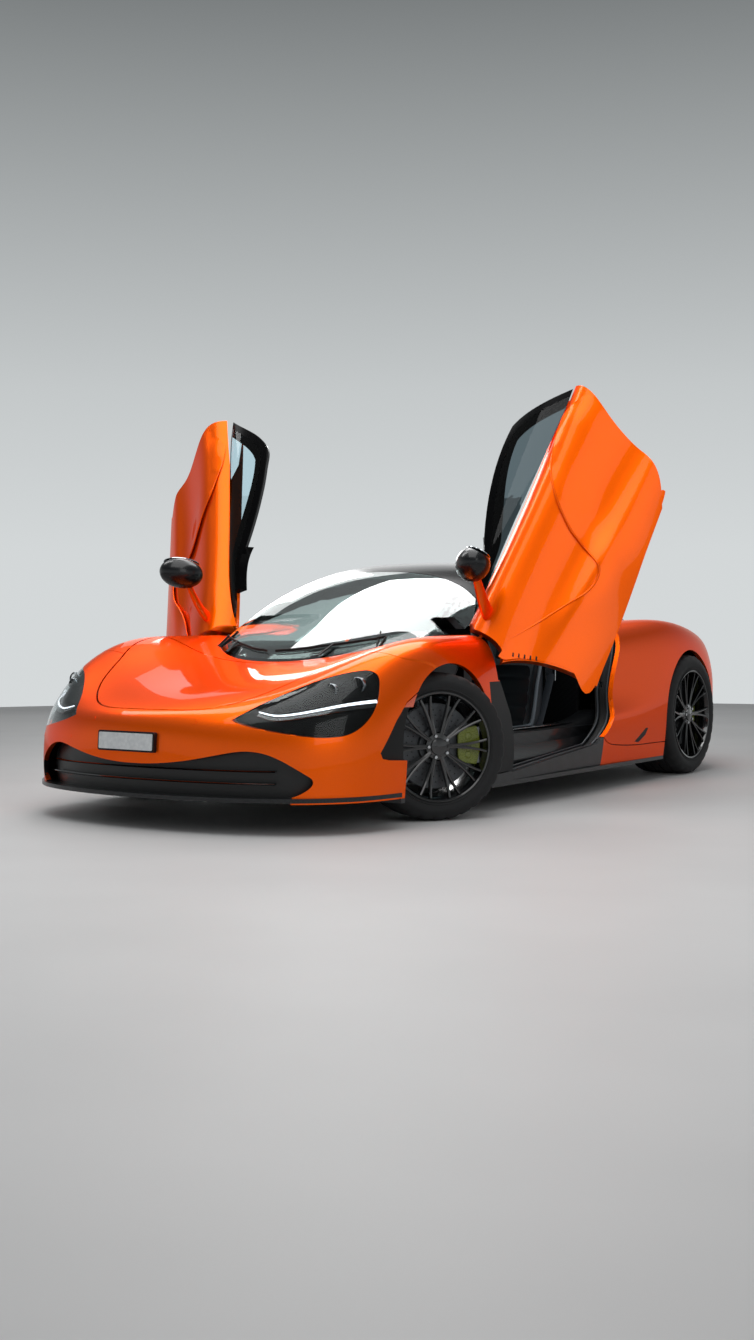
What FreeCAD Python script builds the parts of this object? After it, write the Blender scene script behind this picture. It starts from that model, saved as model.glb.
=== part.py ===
import FreeCAD, Part
import Sketcher
import math
import os

V = FreeCAD.Vector
doc = FreeCAD.newDocument("supercar")

# Named sizes, in millimetres and degrees
SIZES = [
    ("wheel_base", 2670.0),
    ("body_length", 4543.0),
    ("body_width", 1930.0),
    ("roof_height", 1196.0),
    ("front_overhang", 1015.0),
    ("front_track", 1674.0),
    ("rear_track", 1629.0),
    ("floor_height", 110.0),
    ("floor_thick", 20.0),
    ("panel_wall", 26.0),
    ("glass_wall", 8.0),
    ("door_wall", 105.0),
    ("shut_gap", 5.0),
    ("front_tyre_radius", 327.0),
    ("front_tyre_width", 245.0),
    ("rear_tyre_radius", 345.0),
    ("rear_tyre_width", 305.0),
    ("front_rim_radius", 246.0),
    ("rear_rim_radius", 259.0),
    ("rim_wall", 9.0),
    ("tyre_shoulder", 30.0),
    ("front_arch_radius", 366.0),
    ("rear_arch_radius", 374.0),
    ("steer_angle", 33.0),
    ("door_open_angle", 78.0),
    ("disc_radius", 190.0),
    ("disc_thick", 22.0),
    ("disc_offset", 30.0),
    ("king_pin_radius", 12.0),
    ("hub_radius", 30.0),
    ("wheel_clear", 6.0),
    ("running_clear", 0.3),
    ("seat_width", 500.0),
    ("seat_offset", 365.0),
    ("steering_wheel_radius", 175.0),
    ("splitter_thick", 18.0),
    ("hinge_x", 666.0),
    ("hinge_y", -694.0),
    ("hinge_z", 837.0),
    ("hinge_lean_x", 0.705),
    ("hinge_lean_y", -0.452),
    ("hinge_lean_z", -0.547),
    ("exhaust_radius", 46.0),
    ("fin_thick", 12.0),
    ("hinge_pin_radius", 9.0),
    ("mirror_half_width", 115.0),
    ("mirror_half_height", 80.0),
    ("flange_thick", 8.0),
    ("flange_width", 44.0),
    ("spoke_count", 10.0),
    ("bead_inset", 8.0),
    ("bead_height", 25.0),
    ("engine_half_width", 270.0),
    ("engine_front", 680.0),
    ("engine_rear", 1500.0),
    ("engine_low", 160.0),
    ("engine_high", 700.0),
    ("console_half_width", 95.0),
    ("console_front", -600.0),
    ("console_rear", 560.0),
    ("console_high", 360.0),
    ("boot_half_width", 330.0),
    ("boot_front", -1900.0),
    ("boot_rear", -1420.0),
    ("boot_low", 330.0),
    ("boot_high", 540.0),
    ("boot_wall", 15.0),
    ("front_beam_inner", 390.0),
    ("front_beam_outer", 470.0),
    ("front_beam_nose", -1960.0),
    ("front_beam_tail", -1010.0),
    ("front_cross_half", 560.0),
    ("cross_depth", 40.0),
    ("front_beam_low", 200.0),
    ("front_beam_high", 330.0),
    ("rear_beam_inner", 340.0),
    ("rear_beam_outer", 420.0),
    ("rear_beam_nose", 600.0),
    ("rear_beam_tail", 2080.0),
    ("rear_cross_half", 600.0),
    ("rear_cross_depth", 30.0),
    ("rear_beam_low", 250.0),
    ("rear_beam_high", 350.0),
    ("pipe_spacing", 115.0),
    ("pipe_height", 668.0),
    ("pipe_front", 1930.0),
    ("pipe_length", 330.0),
    ("pipe_wall", 4.0),
    ("floor_half_width", 945.0),
    ("floor_front", -1652.0),
    ("floor_rear", 1780.0),
]
sheet = doc.addObject("Spreadsheet::Sheet", "sizes")
for line, (word, number) in enumerate(SIZES, 1):
    sheet.set("A%d" % line, word)
    sheet.set("B%d" % line, "%g" % number)
    sheet.setAlias("B%d" % line, word)
doc.recompute()


def size(word):
    return float(sheet.get(word))


NODES = []

FRONT_AXLE_Y = -size("body_length") / 2 + size("front_overhang")
REAR_AXLE_Y = FRONT_AXLE_Y + size("wheel_base")
FLOOR_TOP = size("floor_height") + size("floor_thick")
LONG = size("body_length") / 4543.0
WIDE = size("body_width") / 1930.0
TALL = size("roof_height") / 1196.0


def keep(name, shape):
    obj = doc.addObject("Part::Feature", name)
    obj.Label = name
    obj.Shape = shape
    NODES.append(obj)
    return obj


def keep_object(name, obj):
    obj.Label = name
    NODES.append(obj)
    return obj


# Bound objects: each edge is a word of the sheet or a sum of such words
def word(text):
    return "sizes." + text


def bound_box(name, x, y, z):
    obj = doc.addObject("Part::Box", name)
    for axis, side, (low, high) in (("x", "Length", x), ("y", "Width", y), ("z", "Height", z)):
        obj.setExpression("Placement.Base." + axis, low)
        obj.setExpression(side, "(%s) - (%s)" % (high, low))
    return obj


def mirror_of(name, source):
    obj = doc.addObject("Part::Mirroring", name)
    obj.Source = source
    obj.Base = V(0, 0, 0)
    obj.Normal = V(1, 0, 0)
    return obj


def fused(name, parts):
    obj = doc.addObject("Part::MultiFuse", name)
    obj.Shapes = parts
    return obj


def closed_sketch(body, name, plane, corners):
    """Straight outline on an origin plane; each corner is (u, u text, v, v text)."""
    sketch = body.newObject("Sketcher::SketchObject", name)
    sketch.AttachmentSupport = (body.Origin.OriginFeatures[plane], [""])
    sketch.MapMode = "FlatFace"
    count = len(corners)
    for k in range(count):
        a, b = corners[k], corners[(k + 1) % count]
        sketch.addGeometry(Part.LineSegment(V(a[0], a[2], 0), V(b[0], b[2], 0)), False)
    for k in range(count):
        sketch.addConstraint(Sketcher.Constraint("Coincident", k, 2, (k + 1) % count, 1))
    for k, (u, u_text, v, v_text) in enumerate(corners):
        for kind, number, text in (("DistanceX", u, u_text), ("DistanceY", v, v_text)):
            if number < 0:
                index = sketch.addConstraint(Sketcher.Constraint(kind, k, 1, -1, 1, -number))
                sketch.setExpression("Constraints[%d]" % index, "-(%s)" % text)
            else:
                index = sketch.addConstraint(Sketcher.Constraint(kind, -1, 1, k, 1, number))
                sketch.setExpression("Constraints[%d]" % index, text)
    return sketch


def oblong(half, half_text, front, front_text, rear, rear_text):
    return [(-half, "-(%s)" % half_text, front, front_text), (half, half_text, front, front_text),
            (half, half_text, rear, rear_text), (-half, "-(%s)" % half_text, rear, rear_text)]


def padded_body(name, corners, low_text, high_text):
    body = doc.addObject("PartDesign::Body", name)
    sketch = closed_sketch(body, name + "_outline", 3, corners)
    sketch.setExpression("AttachmentOffset.Base.z", low_text)
    pad = body.newObject("PartDesign::Pad", name + "_pad")
    pad.Profile = sketch
    pad.setExpression("Length", "(%s) - (%s)" % (high_text, low_text))
    sketch.Visibility = False
    body.Tip = pad
    return body


def solid_of(shape):
    parts = shape.Solids
    if len(parts) == 1:
        return parts[0]
    return Part.makeCompound(parts)


# Sculpted skins, each a smooth surface over a net of poles

def creased(rows, low, first, last, tight, loose):
    out = []
    for i, row in enumerate(rows):
        part = tight if first <= i <= last else loose
        a, b = row[low], row[low + 1]
        extra = tuple(a[k] + (b[k] - a[k]) * part for k in range(3))
        out.append(row[:low + 1] + [extra] + row[low + 1:])
    return out


def mirrored(rows):
    full = []
    for row in rows:
        pts = [V(x * WIDE, y * LONG, z * TALL) for x, y, z in row]
        other = [V(-p.x, p.y, p.z) for p in reversed(pts[:-1])]
        full.append(pts + other)
    return full


def knots(count, degree=3):
    spans = count - degree
    marks = [float(i) for i in range(spans + 1)]
    mults = [degree + 1] + [1] * (spans - 1) + [degree + 1]
    return marks, mults


def skin(poles):
    surf = Part.BSplineSurface()
    uk, um = knots(len(poles))
    vk, vm = knots(len(poles[0]))
    surf.buildFromPolesMultsKnots(poles, um, vm, uk, vk, False, False, 3, 3)
    return surf


def dome(poles):
    face = skin(poles).toShape()
    base = Part.Face(Part.Wire(Part.__sortEdges__(face.Edges)))
    shell_faces = Part.makeShell([face, base])
    body = Part.makeSolid(shell_faces)
    if body.Volume < 0 or not body.isInside(V(0, 0, 640), 1.0, True):
        body.reverse()
    return body


def sunk(poles, wall, drop):
    rows = len(poles)
    cols = len(poles[0])
    out = []
    mi, mj = rows // 2, cols // 2
    up = (poles[mi + 1][mj] - poles[mi - 1][mj]).cross(poles[mi][mj + 1] - poles[mi][mj - 1])
    sign = math.copysign(1.0, up.z)
    for i in range(rows):
        line = []
        for j in range(cols):
            a = poles[min(i + 1, rows - 1)][j] - poles[max(i - 1, 0)][j]
            b = poles[i][min(j + 1, cols - 1)] - poles[i][max(j - 1, 0)]
            n = a.cross(b)
            if n.Length < 1e-6:
                n = V(0, 0, 1)
            n.normalize()
            n = n * sign
            if j in (0, cols - 1):
                n = V(math.copysign(1.0, poles[i][j].x), 0, 0)
            elif i in (0, rows - 1):
                n.z = 0
                n = V(n.x, math.copysign(max(abs(n.y), 0.3), poles[i][j].y), 0)
                n.normalize()
            edge = i in (0, rows - 1) or j in (0, cols - 1)
            p = poles[i][j] - n * wall
            if edge:
                p.z = poles[i][j].z - drop
            line.append(p)
        out.append(line)
    return out


# Lower body, nose to tail; each row runs from the sill to the centre line
B = 130
BODY = [
    [(950, -1480, B), (948, -1620, B), (930, -1760, B), (885, -1900, B), (800, -2020, B),
     (670, -2120, B), (470, -2200, B), (240, -2245, B), (0, -2262, B)],
    [(956, -1450, B), (958, -1600, 240), (945, -1740, 270), (905, -1880, 290), (825, -2010, 300),
     (690, -2120, 310), (480, -2210, 320), (245, -2260, 325), (0, -2282, 330)],
    [(960, -1430, B), (962, -1580, 260), (952, -1710, 350), (915, -1840, 400), (835, -1970, 430),
     (700, -2085, 445), (485, -2185, 450), (248, -2245, 450), (0, -2275, 450)],
    [(962, -1400, B), (964, -1560, 270), (955, -1660, 400), (925, -1760, 490), (850, -1880, 535),
     (712, -2000, 540), (485, -2110, 508), (250, -2190, 505), (0, -2225, 500)],
    [(964, -1370, B), (966, -1510, 275), (962, -1570, 410), (950, -1640, 535), (893, -1730, 625),
     (758, -1850, 655), (508, -1960, 585), (260, -2040, 560), (0, -2070, 553)],
    [(966, -1340, B), (968, -1440, 280), (968, -1470, 415), (960, -1500, 560), (920, -1560, 695),
     (795, -1680, 748), (530, -1760, 652), (265, -1830, 612), (0, -1850, 602)],
    [(966, -1300, B), (970, -1340, 280), (972, -1350, 420), (966, -1370, 570), (942, -1400, 730),
     (835, -1480, 815), (550, -1520, 712), (270, -1560, 660), (0, -1580, 650)],
    [(966, -1250, B), (970, -1250, 280), (973, -1250, 420), (970, -1250, 570), (955, -1250, 745),
     (858, -1250, 850), (565, -1270, 752), (275, -1290, 705), (0, -1300, 697)],
    [(955, -1000, B), (964, -960, 270), (962, -930, 400), (956, -910, 535), (942, -900, 690),
     (868, -900, 838), (630, -900, 805), (320, -950, 765), (0, -980, 750)],
    [(935, -480, B), (955, -470, 240), (938, -460, 420), (884, -450, 520), (880, -450, 650),
     (850, -450, 822), (620, -450, 815), (300, -450, 815), (0, -450, 815)],
    [(932, 100, B), (955, 100, 230), (962, 100, 380), (888, 100, 480), (882, 100, 640),
     (862, 100, 815), (640, 100, 840), (300, 100, 840), (0, 100, 840)],
    [(936, 600, B), (958, 600, 240), (964, 600, 370), (930, 600, 500), (925, 600, 660),
     (895, 600, 862), (650, 600, 880), (310, 600, 880), (0, 600, 880)],
    [(946, 1050, B), (962, 1050, 250), (970, 1050, 400), (970, 1050, 545), (960, 1050, 710),
     (908, 1020, 925), (640, 1000, 880), (320, 1000, 895), (0, 1000, 900)],
    [(952, 1413, B), (966, 1413, 260), (972, 1413, 420), (974, 1413, 560), (962, 1413, 730),
     (895, 1380, 918), (620, 1400, 880), (310, 1400, 885), (0, 1400, 890)],
    [(950, 1650, B), (955, 1730, 250), (953, 1770, 420), (945, 1780, 565), (915, 1780, 705),
     (835, 1780, 850), (600, 1800, 858), (300, 1800, 865), (0, 1800, 868)],
    [(940, 1700, B), (905, 1840, 245), (888, 1900, 410), (865, 1960, 550), (830, 2000, 680),
     (765, 2040, 800), (560, 2100, 832), (290, 2120, 840), (0, 2125, 840)],
    [(925, 1730, B), (870, 1910, 240), (832, 2010, 400), (800, 2100, 530), (750, 2150, 640),
     (680, 2200, 750), (510, 2245, 795), (270, 2258, 808), (0, 2262, 812)],
    [(910, 1745, B), (855, 1930, 200), (805, 2060, 320), (755, 2150, 420), (690, 2205, 520),
     (600, 2255, 600), (430, 2272, 640), (225, 2278, 655), (0, 2280, 660)],
    [(895, 1760, B), (845, 1920, B), (790, 2040, B), (730, 2120, B), (650, 2170, B),
     (530, 2215, B), (385, 2235, B), (200, 2247, B), (0, 2250, B)],
]

# Cabin above the belt line, windscreen foot to engine deck
G = 600
CABIN = [
    [(640, -1020, G), (640, -1100, G), (600, -1250, G), (480, -1380, G), (250, -1450, G), (0, -1475, G)],
    [(700, -880, G), (720, -860, 720), (620, -1020, 745), (490, -1180, 740), (250, -1270, 738),
     (0, -1300, 735)],
    [(740, -600, G), (780, -620, 780), (640, -760, 870), (500, -930, 875), (260, -1020, 872),
     (0, -1050, 870)],
    [(760, -300, G), (810, -330, 820), (650, -440, 990), (520, -600, 1040), (270, -700, 1045),
     (0, -730, 1045)],
    [(780, 0, G), (800, 0, 822), (664, -100, 1005), (512, -230, 1138), (280, -330, 1175),
     (0, -360, 1180)],
    [(780, 300, G), (815, 300, 830), (668, 230, 1015), (506, 150, 1165), (280, 100, 1210),
     (0, 90, 1215)],
    [(770, 650, G), (815, 620, 838), (665, 620, 1000), (490, 600, 1130), (270, 600, 1170),
     (0, 600, 1180)],
    [(700, 1000, G), (780, 1000, 850), (610, 1050, 960), (440, 1060, 1040), (240, 1060, 1080),
     (0, 1060, 1090)],
    [(600, 1400, G), (660, 1400, 830), (520, 1450, 890), (380, 1480, 950), (210, 1480, 980),
     (0, 1480, 985)],
    [(520, 1700, G), (560, 1720, 760), (450, 1800, 830), (330, 1840, 860), (180, 1850, 870),
     (0, 1850, 872)],
    [(460, 1850, G), (450, 1950, G), (380, 2030, G), (280, 2070, G), (150, 2090, G), (0, 2100, G)],
]

body_poles = mirrored(creased(BODY, 2, 9, 11, 0.16, 0.5))
cabin_poles = mirrored(CABIN)
body_outer = dome(body_poles)
body_inner = dome(sunk(body_poles, size("panel_wall"), 25.0))
cabin_outer = dome(cabin_poles)
cabin_inner = dome(sunk(cabin_poles, size("glass_wall"), 25.0))
cabin_lining = dome(sunk(cabin_poles, size("glass_wall") + 30.0, 50.0))


# Outline helpers

def wire_of(segments, lift):
    edges = []
    last = None
    for seg in segments:
        pts = [lift(a, b) for a, b in seg]
        if last is not None and pts[0].distanceToPoint(last) > 1e-6:
            edges.append(Part.makeLine(last, pts[0]))
        if len(pts) == 2:
            edges.append(Part.makeLine(pts[0], pts[1]))
        else:
            curve = Part.BSplineCurve()
            curve.interpolate(pts)
            edges.append(curve.toShape())
        last = pts[-1]
    first = lift(*segments[0][0])
    if last.distanceToPoint(first) > 1e-6:
        edges.append(Part.makeLine(last, first))
    return Part.Wire(edges)


def prism_x(segments, x0, x1):
    wire = wire_of(segments, lambda y, z: V(x0, y, z))
    return Part.Face(wire).extrude(V(x1 - x0, 0, 0))


def prism_y(segments, y0, y1):
    wire = wire_of(segments, lambda x, z: V(x, y0, z))
    return Part.Face(wire).extrude(V(0, y1 - y0, 0))


def prism_z(segments, z0, z1):
    wire = wire_of(segments, lambda x, y: V(x, y, z0))
    return Part.Face(wire).extrude(V(0, 0, z1 - z0))


def polygon(points):
    ring = list(points) + [points[0]]
    return [[ring[i], ring[i + 1]] for i in range(len(points))]


def flip(shape):
    return shape.mirror(V(0, 0, 0), V(1, 0, 0))


def box(x0, x1, y0, y1, z0, z1):
    return Part.makeBox(x1 - x0, y1 - y0, z1 - z0, V(x0, y0, z0))


def tube_x(radius, y, z, x0, x1):
    return Part.makeCylinder(radius, x1 - x0, V(x0, y, z), V(1, 0, 0))


def both(shape):
    return shape.fuse(flip(shape))


def smooth_band(points, width):
    left = []
    right = []
    count = len(points)
    for i in range(count):
        ax, ay = points[max(i - 1, 0)]
        bx, by = points[min(i + 1, count - 1)]
        dx, dy = bx - ax, by - ay
        run = math.hypot(dx, dy)
        nx, ny = -dy / run * width / 2, dx / run * width / 2
        px, py = points[i]
        left.append((px + nx, py + ny))
        right.append((px - nx, py - ny))
    right.reverse()
    return [left, right]


gap = size("shut_gap")
far = 1400.0

# Wheel wells
front_well = tube_x(size("front_arch_radius"), FRONT_AXLE_Y, size("front_tyre_radius"), 535, far)
rear_well = tube_x(size("rear_arch_radius"), REAR_AXLE_Y, size("rear_tyre_radius"), 610, far)
front_drop = box(535, far, FRONT_AXLE_Y - size("front_arch_radius"),
                 FRONT_AXLE_Y + size("front_arch_radius"), -50, size("front_tyre_radius"))
rear_drop = box(610, far, REAR_AXLE_Y - size("rear_arch_radius"),
                REAR_AXLE_Y + size("rear_arch_radius"), -50, size("rear_tyre_radius"))
wells = both(front_well.fuse([rear_well]))
well_drops = both(front_drop.fuse([rear_drop]))

# Door outline in side view, closed, from the arch round the sill to the roof
DOOR = [
    [(-698, 172), (-692, 313), (-708, 432), (-745, 544), (-790, 612)],
    [(-790, 612), (-735, 640), (-705, 700), (-693, 790)],
    [(-693, 790), (-640, 828), (-500, 872), (-240, 938)],
    [(-240, 938), (-50, 1000), (160, 1042), (340, 1050)],
    [(340, 1050), (430, 1010), (520, 940), (605, 862)],
    [(605, 862), (587, 807), (504, 662), (440, 530), (412, 455)],
    [(412, 455), (386, 395), (347, 345), (277, 294), (200, 252)],
    [(200, 252), (-698, 172)],
]


def grown(segments, amount):
    pts = [p for seg in segments for p in seg]
    cy = sum(p[0] for p in pts) / len(pts)
    cz = sum(p[1] for p in pts) / len(pts)
    out = []
    for seg in segments:
        line = []
        for y, z in seg:
            dy, dz = y - cy, z - cz
            run = math.hypot(dy, dz)
            line.append((y + dy / run * amount, z + dz / run * amount))
        out.append(line)
    return out


door_prism = prism_x(DOOR, 330, 1300)
NOTCH = polygon([(-804, 604), (-812, 700), (-806, 900), (-680, 900), (-680, 604)])
PILLAR = polygon([(-726, 800), (-672, 852), (-520, 900), (-252, 966), (-60, 1024), (0, 1000), (-300, 800)])
door_hole = prism_x(grown(DOOR, gap), 330 - gap, 1300)
door_hole = door_hole.fuse([prism_x(NOTCH, 560, 1300), prism_x(PILLAR, 400, 1300)])

# Closed left door: lower body, glass and mirror
belt = prism_x([[(-1000, 770), (-700, 800), (-300, 832), (200, 850), (700, 862)],
                [(700, 862), (1200, 862)], [(1200, 862), (1200, 1500)], [(1200, 1500), (-1000, 1500)],
                [(-1000, 1500), (-1000, 770)]], 300, 1300)
shifted = body_outer.copy()
shifted.translate(V(-size("door_wall"), 0, -18))
door_low = body_outer.cut(shifted).common(door_prism).cut(wells)
door_low = door_low.cut(box(-400, 690, -2000, 2000, 0, 1500))
door_low = door_low.cut(cabin_outer.common(belt))
door_frame = cabin_outer.cut(cabin_lining).common(door_prism).common(belt).cut(body_outer)


def biggest(shape):
    return max(shape.Solids, key=lambda s: s.Volume)


door_low = biggest(door_low)
glass_zone = prism_x(grown(DOOR, -34.0), 330, 1300)
door_band = biggest(door_frame)
door_glass = biggest(cabin_outer.cut(cabin_inner).common(glass_zone).common(belt).cut(body_outer))
door_band = door_band.cut(cabin_outer.cut(cabin_inner).common(glass_zone))
inner_window = prism_x(grown(DOOR, -80.0), 560, 1300)
door_band = biggest(door_band.cut([inner_window, box(0, 1300, -1000, -470, 0, 1500)]))

hinge_point = V(size("hinge_x"), size("hinge_y"), size("hinge_z"))
hinge_axis = V(size("hinge_lean_x"), size("hinge_lean_y"), size("hinge_lean_z"))
hinge_axis.normalize()


# The upper shut faces lean along the first travel of the door, so that it lifts clear of the roof
def leaning_cut(segments, samples, rim):
    outside = []
    inside = []
    for number, segment in enumerate(segments):
        curve = Part.BSplineCurve()
        curve.interpolate([V(0, y, z) for y, z in segment])
        for k in range(0 if number == 0 else 1, samples):
            share = k / (samples - 1)
            spot = curve.value(curve.FirstParameter * (1 - share) + curve.LastParameter * share)
            across = Part.makeLine(V(200, spot.y, spot.z), V(1300, spot.y, spot.z)).common(cabin_outer)
            edge = V(max(v.X for v in across.Vertexes) - rim, spot.y, spot.z)
            travel = hinge_axis.cross(edge - hinge_point)
            travel.normalize()
            outside.append(edge + travel * 60)
            inside.append(edge - travel * 300)
    rails = []
    for points in (outside, inside):
        rail = Part.BSplineCurve()
        rail.interpolate(points)
        rails.append(rail.toShape())
    cutter = Part.makeRuledSurface(rails[0], rails[1]).extrude(V(-420, 0, 170))
    if cutter.Volume < 0:
        cutter.reverse()
    return cutter


roof_cut = leaning_cut(DOOR[3:5], 7, 5.0)
door_band = biggest(door_band.cut(roof_cut))
door_low = biggest(door_low.cut(roof_cut))


def swung(shape, side):
    out = shape.copy()
    out.rotate(hinge_point, hinge_axis, size("door_open_angle"))
    if side < 0:
        out = flip(out)
    return out


pod_long = size("mirror_half_width")
pod_tall = size("mirror_half_height")
pod_spot = V(1040, -460, 938)
arm_foot = V(845, -590, 765)
POD_SECTIONS = [(-79, 0.16), (-70, 0.48), (-50, 0.78), (-25, 0.95), (0, 1.0), (30, 0.93), (55, 0.75)]
pod_rings = []
for along, share in POD_SECTIONS:
    ellipse = Part.Ellipse(V(0, 0, 0), pod_long * share, pod_tall * share).toShape()
    ellipse.rotate(V(0, 0, 0), V(1, 0, 0), 90)
    ellipse.translate(pod_spot + V(0, along, 0))
    pod_rings.append(Part.Wire([ellipse]))
mirror_pod = Part.makeLoft(pod_rings, True, False)
mirror_arm = Part.makeCylinder(18, (pod_spot - arm_foot).Length, arm_foot, pod_spot - arm_foot)
mirror_arm = mirror_arm.cut(mirror_pod)



# Hinge pin on its link to the door, and the post that holds it
def on_hinge(t):
    return hinge_point + hinge_axis * t


pin_radius = size("hinge_pin_radius")
link_end = V(803, -668, 738)
link = Part.makeCylinder(pin_radius, (link_end - on_hinge(141)).Length, on_hinge(141), link_end - on_hinge(141))
pin = Part.makeCylinder(pin_radius, 82, on_hinge(68), hinge_axis)
SCOOP = [(752, 234), (775, 440), (792, 640), (690, 640), (692, 500), (706, 353)]
door_low = biggest(door_low.cut(prism_z(polygon(SCOOP), 780, 1000)).fuse([pin, link]))
post = box(690, 742, -800, -728, FLOOR_TOP, 770).fuse(Part.makeCylinder(22, 27, on_hinge(95), hinge_axis))
post = post.cut([Part.makeCylinder(pin_radius + size("running_clear"), 200, on_hinge(20), hinge_axis),
                 cabin_outer])
post = biggest(post)

for side, tag in ((1, "left"), (-1, "right")):
    keep("door_" + tag, swung(door_low, side))
    keep("door_glass_" + tag, swung(door_glass, side))
    keep("door_upper_frame_" + tag, swung(door_band, side))
    keep("mirror_" + tag, swung(biggest(mirror_pod.fuse(mirror_arm.cut(body_outer))), side))

# Body shell, cut into its panels along the shut lines
shell = body_outer.cut(body_inner)
shell = shell.cut([wells, well_drops, cabin_outer, both(door_hole)])
shell = shell.cut(box(-560, 560, -900, 1300, 500, 1300))

PLAN_LINES = [
    [(0, -2188), (140, -2180), (276, -2151), (360, -2105), (434, -2037)],
    [(434, -2037), (551, -1865), (640, -1670), (715, -1520), (765, -1380), (785, -1250), (782, -1180)],
    [(0, -1375), (250, -1350), (480, -1290), (640, -1232), (788, -1196)],
]
NOSE_LINE = [(672, -1602), (790, -1594), (862, -1568), (916, -1474), (955, -1340), (1010, -1230)]
REAR_OF_LID = [(788, -1190), (782, -1080), (740, -960), (700, -860), (670, -720)]
SIDE_LINES = [
    [(-940, 172), (-690, 177)],
    [(240, 300), (320, 245), (420, 228), (700, 212), (1090, 205)],
]
cutters = [prism_z(smooth_band(pts, gap + 3), 300, 1300) for pts in PLAN_LINES]
cutters.append(prism_z(smooth_band(NOSE_LINE, gap), 600, 1300))
cutters.append(prism_z(smooth_band(REAR_OF_LID, gap), 600, 1300))
cutters += [prism_x(smooth_band(pts, gap), 560, 1300) for pts in SIDE_LINES]
walls = both(cutters[0].fuse(cutters[1:]))
tail_line = prism_x(smooth_band([(1740, 470), (1830, 600), (1960, 700), (2055, 790), (2080, 900)], gap),
                    -1300, 1300)

# Headlamp sockets and front mouth, seen from the front
LAMP = [
    [(442, 470), (482, 503), (520, 535), (600, 588), (690, 636), (760, 660), (820, 672)],
    [(820, 672), (862, 652), (886, 604), (901, 528), (897, 468), (874, 422), (840, 404)],
    [(840, 404), (799, 401), (686, 414), (579, 433), (508, 449), (442, 470)],
]
lamp_prism = prism_y(LAMP, -2300, -1450)
MOUTH = [
    [(0, 283), (142, 288), (289, 306), (424, 332), (520, 346), (600, 337), (704, 285), (754, 248)],
    [(754, 248), (772, 216), (753, 188), (703, 160)],
    [(703, 160), (690, 100)],
    [(690, 100), (0, 100)],
]
mouth = both(prism_y(MOUTH, -2400, -1750))
deep_flange = dome(sunk(body_poles, size("panel_wall") + size("flange_thick"), 25.0))
lamp_front = dome(sunk(body_poles, 20.0, 25.0))
deep_one = dome(sunk(body_poles, 60.0, 25.0))
deep_two = dome(sunk(body_poles, 85.0, 25.0))
lamp_layer = lamp_front.cut(deep_one)

# Tail: open grille band, lamp strips over it and the diffuser tunnel below
TAIL = [
    [(0, 585), (330, 585), (520, 600), (640, 640), (735, 705)],
    [(735, 705), (720, 735), (640, 752), (560, 758)],
    [(560, 758), (420, 745), (250, 742), (0, 742)],
]
tail_hole = both(prism_y(TAIL + [[(0, 742), (0, 585)]], 1850, 2500))
STRIP = [[(300, 716), (450, 716), (600, 722), (712, 712)], [(712, 712), (716, 724)],
         [(716, 724), (600, 738), (450, 732), (300, 732)], [(300, 732), (300, 716)]]
TUNNEL = [(1780, 90), (2500, 90), (2500, 320), (2290, 312), (1780, 130)]
tunnel = prism_x(polygon(TUNNEL), -560, 560)

# Vent behind the nose corner, open into the wheel arch, with its side lamp
VENT = [(-1300, 650), (-1440, 628), (-1511, 583), (-1608, 536), (-1680, 463), (-1759, 363), (-1784, 330),
        (-1772, 305), (-1732, 297), (-1582, 287), (-1300, 285)]
vent_prism = prism_x(polygon(VENT), 700, 1300)
MARKER = [(-1629, 514), (-1608, 531), (-1511, 577), (-1475, 592), (-1475, 540), (-1520, 512)]
marker_prism = prism_x(polygon(MARKER), 850, 1300)

shell = shell.cut([walls, tail_line, both(lamp_prism), mouth, tail_hole, tunnel, both(vent_prism)])


def near(shape, x, y, z):
    spot = Part.Vertex(V(x, y, z))
    return min(shape.Solids, key=lambda s: s.distToShape(spot)[0])


keep("front_bumper", near(shell, 0, -2255, 450))
keep("front_lid", near(shell, 0, -1700, 640))
keep("scuttle", near(shell, 0, -1360, 690))
def pair(shape):
    return Part.makeCompound([shape, flip(shape)])


# Flanges under the shut lines that tie the fixed panels together
broad = size("flange_width")
ties = [prism_z(smooth_band(NOSE_LINE, broad), 600, 1300), prism_z(smooth_band(REAR_OF_LID, broad), 600, 1300),
        prism_x(smooth_band(SIDE_LINES[0], broad), 560, 1300), prism_x(smooth_band(SIDE_LINES[1], broad), 560, 1300),
        prism_x(smooth_band([(1740, 470), (1830, 600), (1960, 700), (2055, 790)], broad), 560, 1300)]
flange_skin = body_inner.cut(deep_flange).cut([wells, box(-1000, 1000, 1955, 2400, 0, 1000), well_drops, cabin_outer, both(door_hole), mouth])
flange_skin = flange_skin.cut(prism_z([[(0, -2250), (160, -2240), (300, -2200), (380, -2140), (460, -2050)],
                                       [(460, -2050), (575, -1870), (664, -1670), (740, -1520), (790, -1385),
                                        (797, -1250), (794, -1192)], [(794, -1192), (0, -1192)],
                                       [(0, -1192), (0, -2250)]], 300, 1300))
flanges = [solid for band in ties for solid in flange_skin.common(band).Solids if solid.Volume > 20000]
keep("panel_flanges", Part.makeCompound(flanges + [flip(solid) for solid in flanges]))


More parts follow.
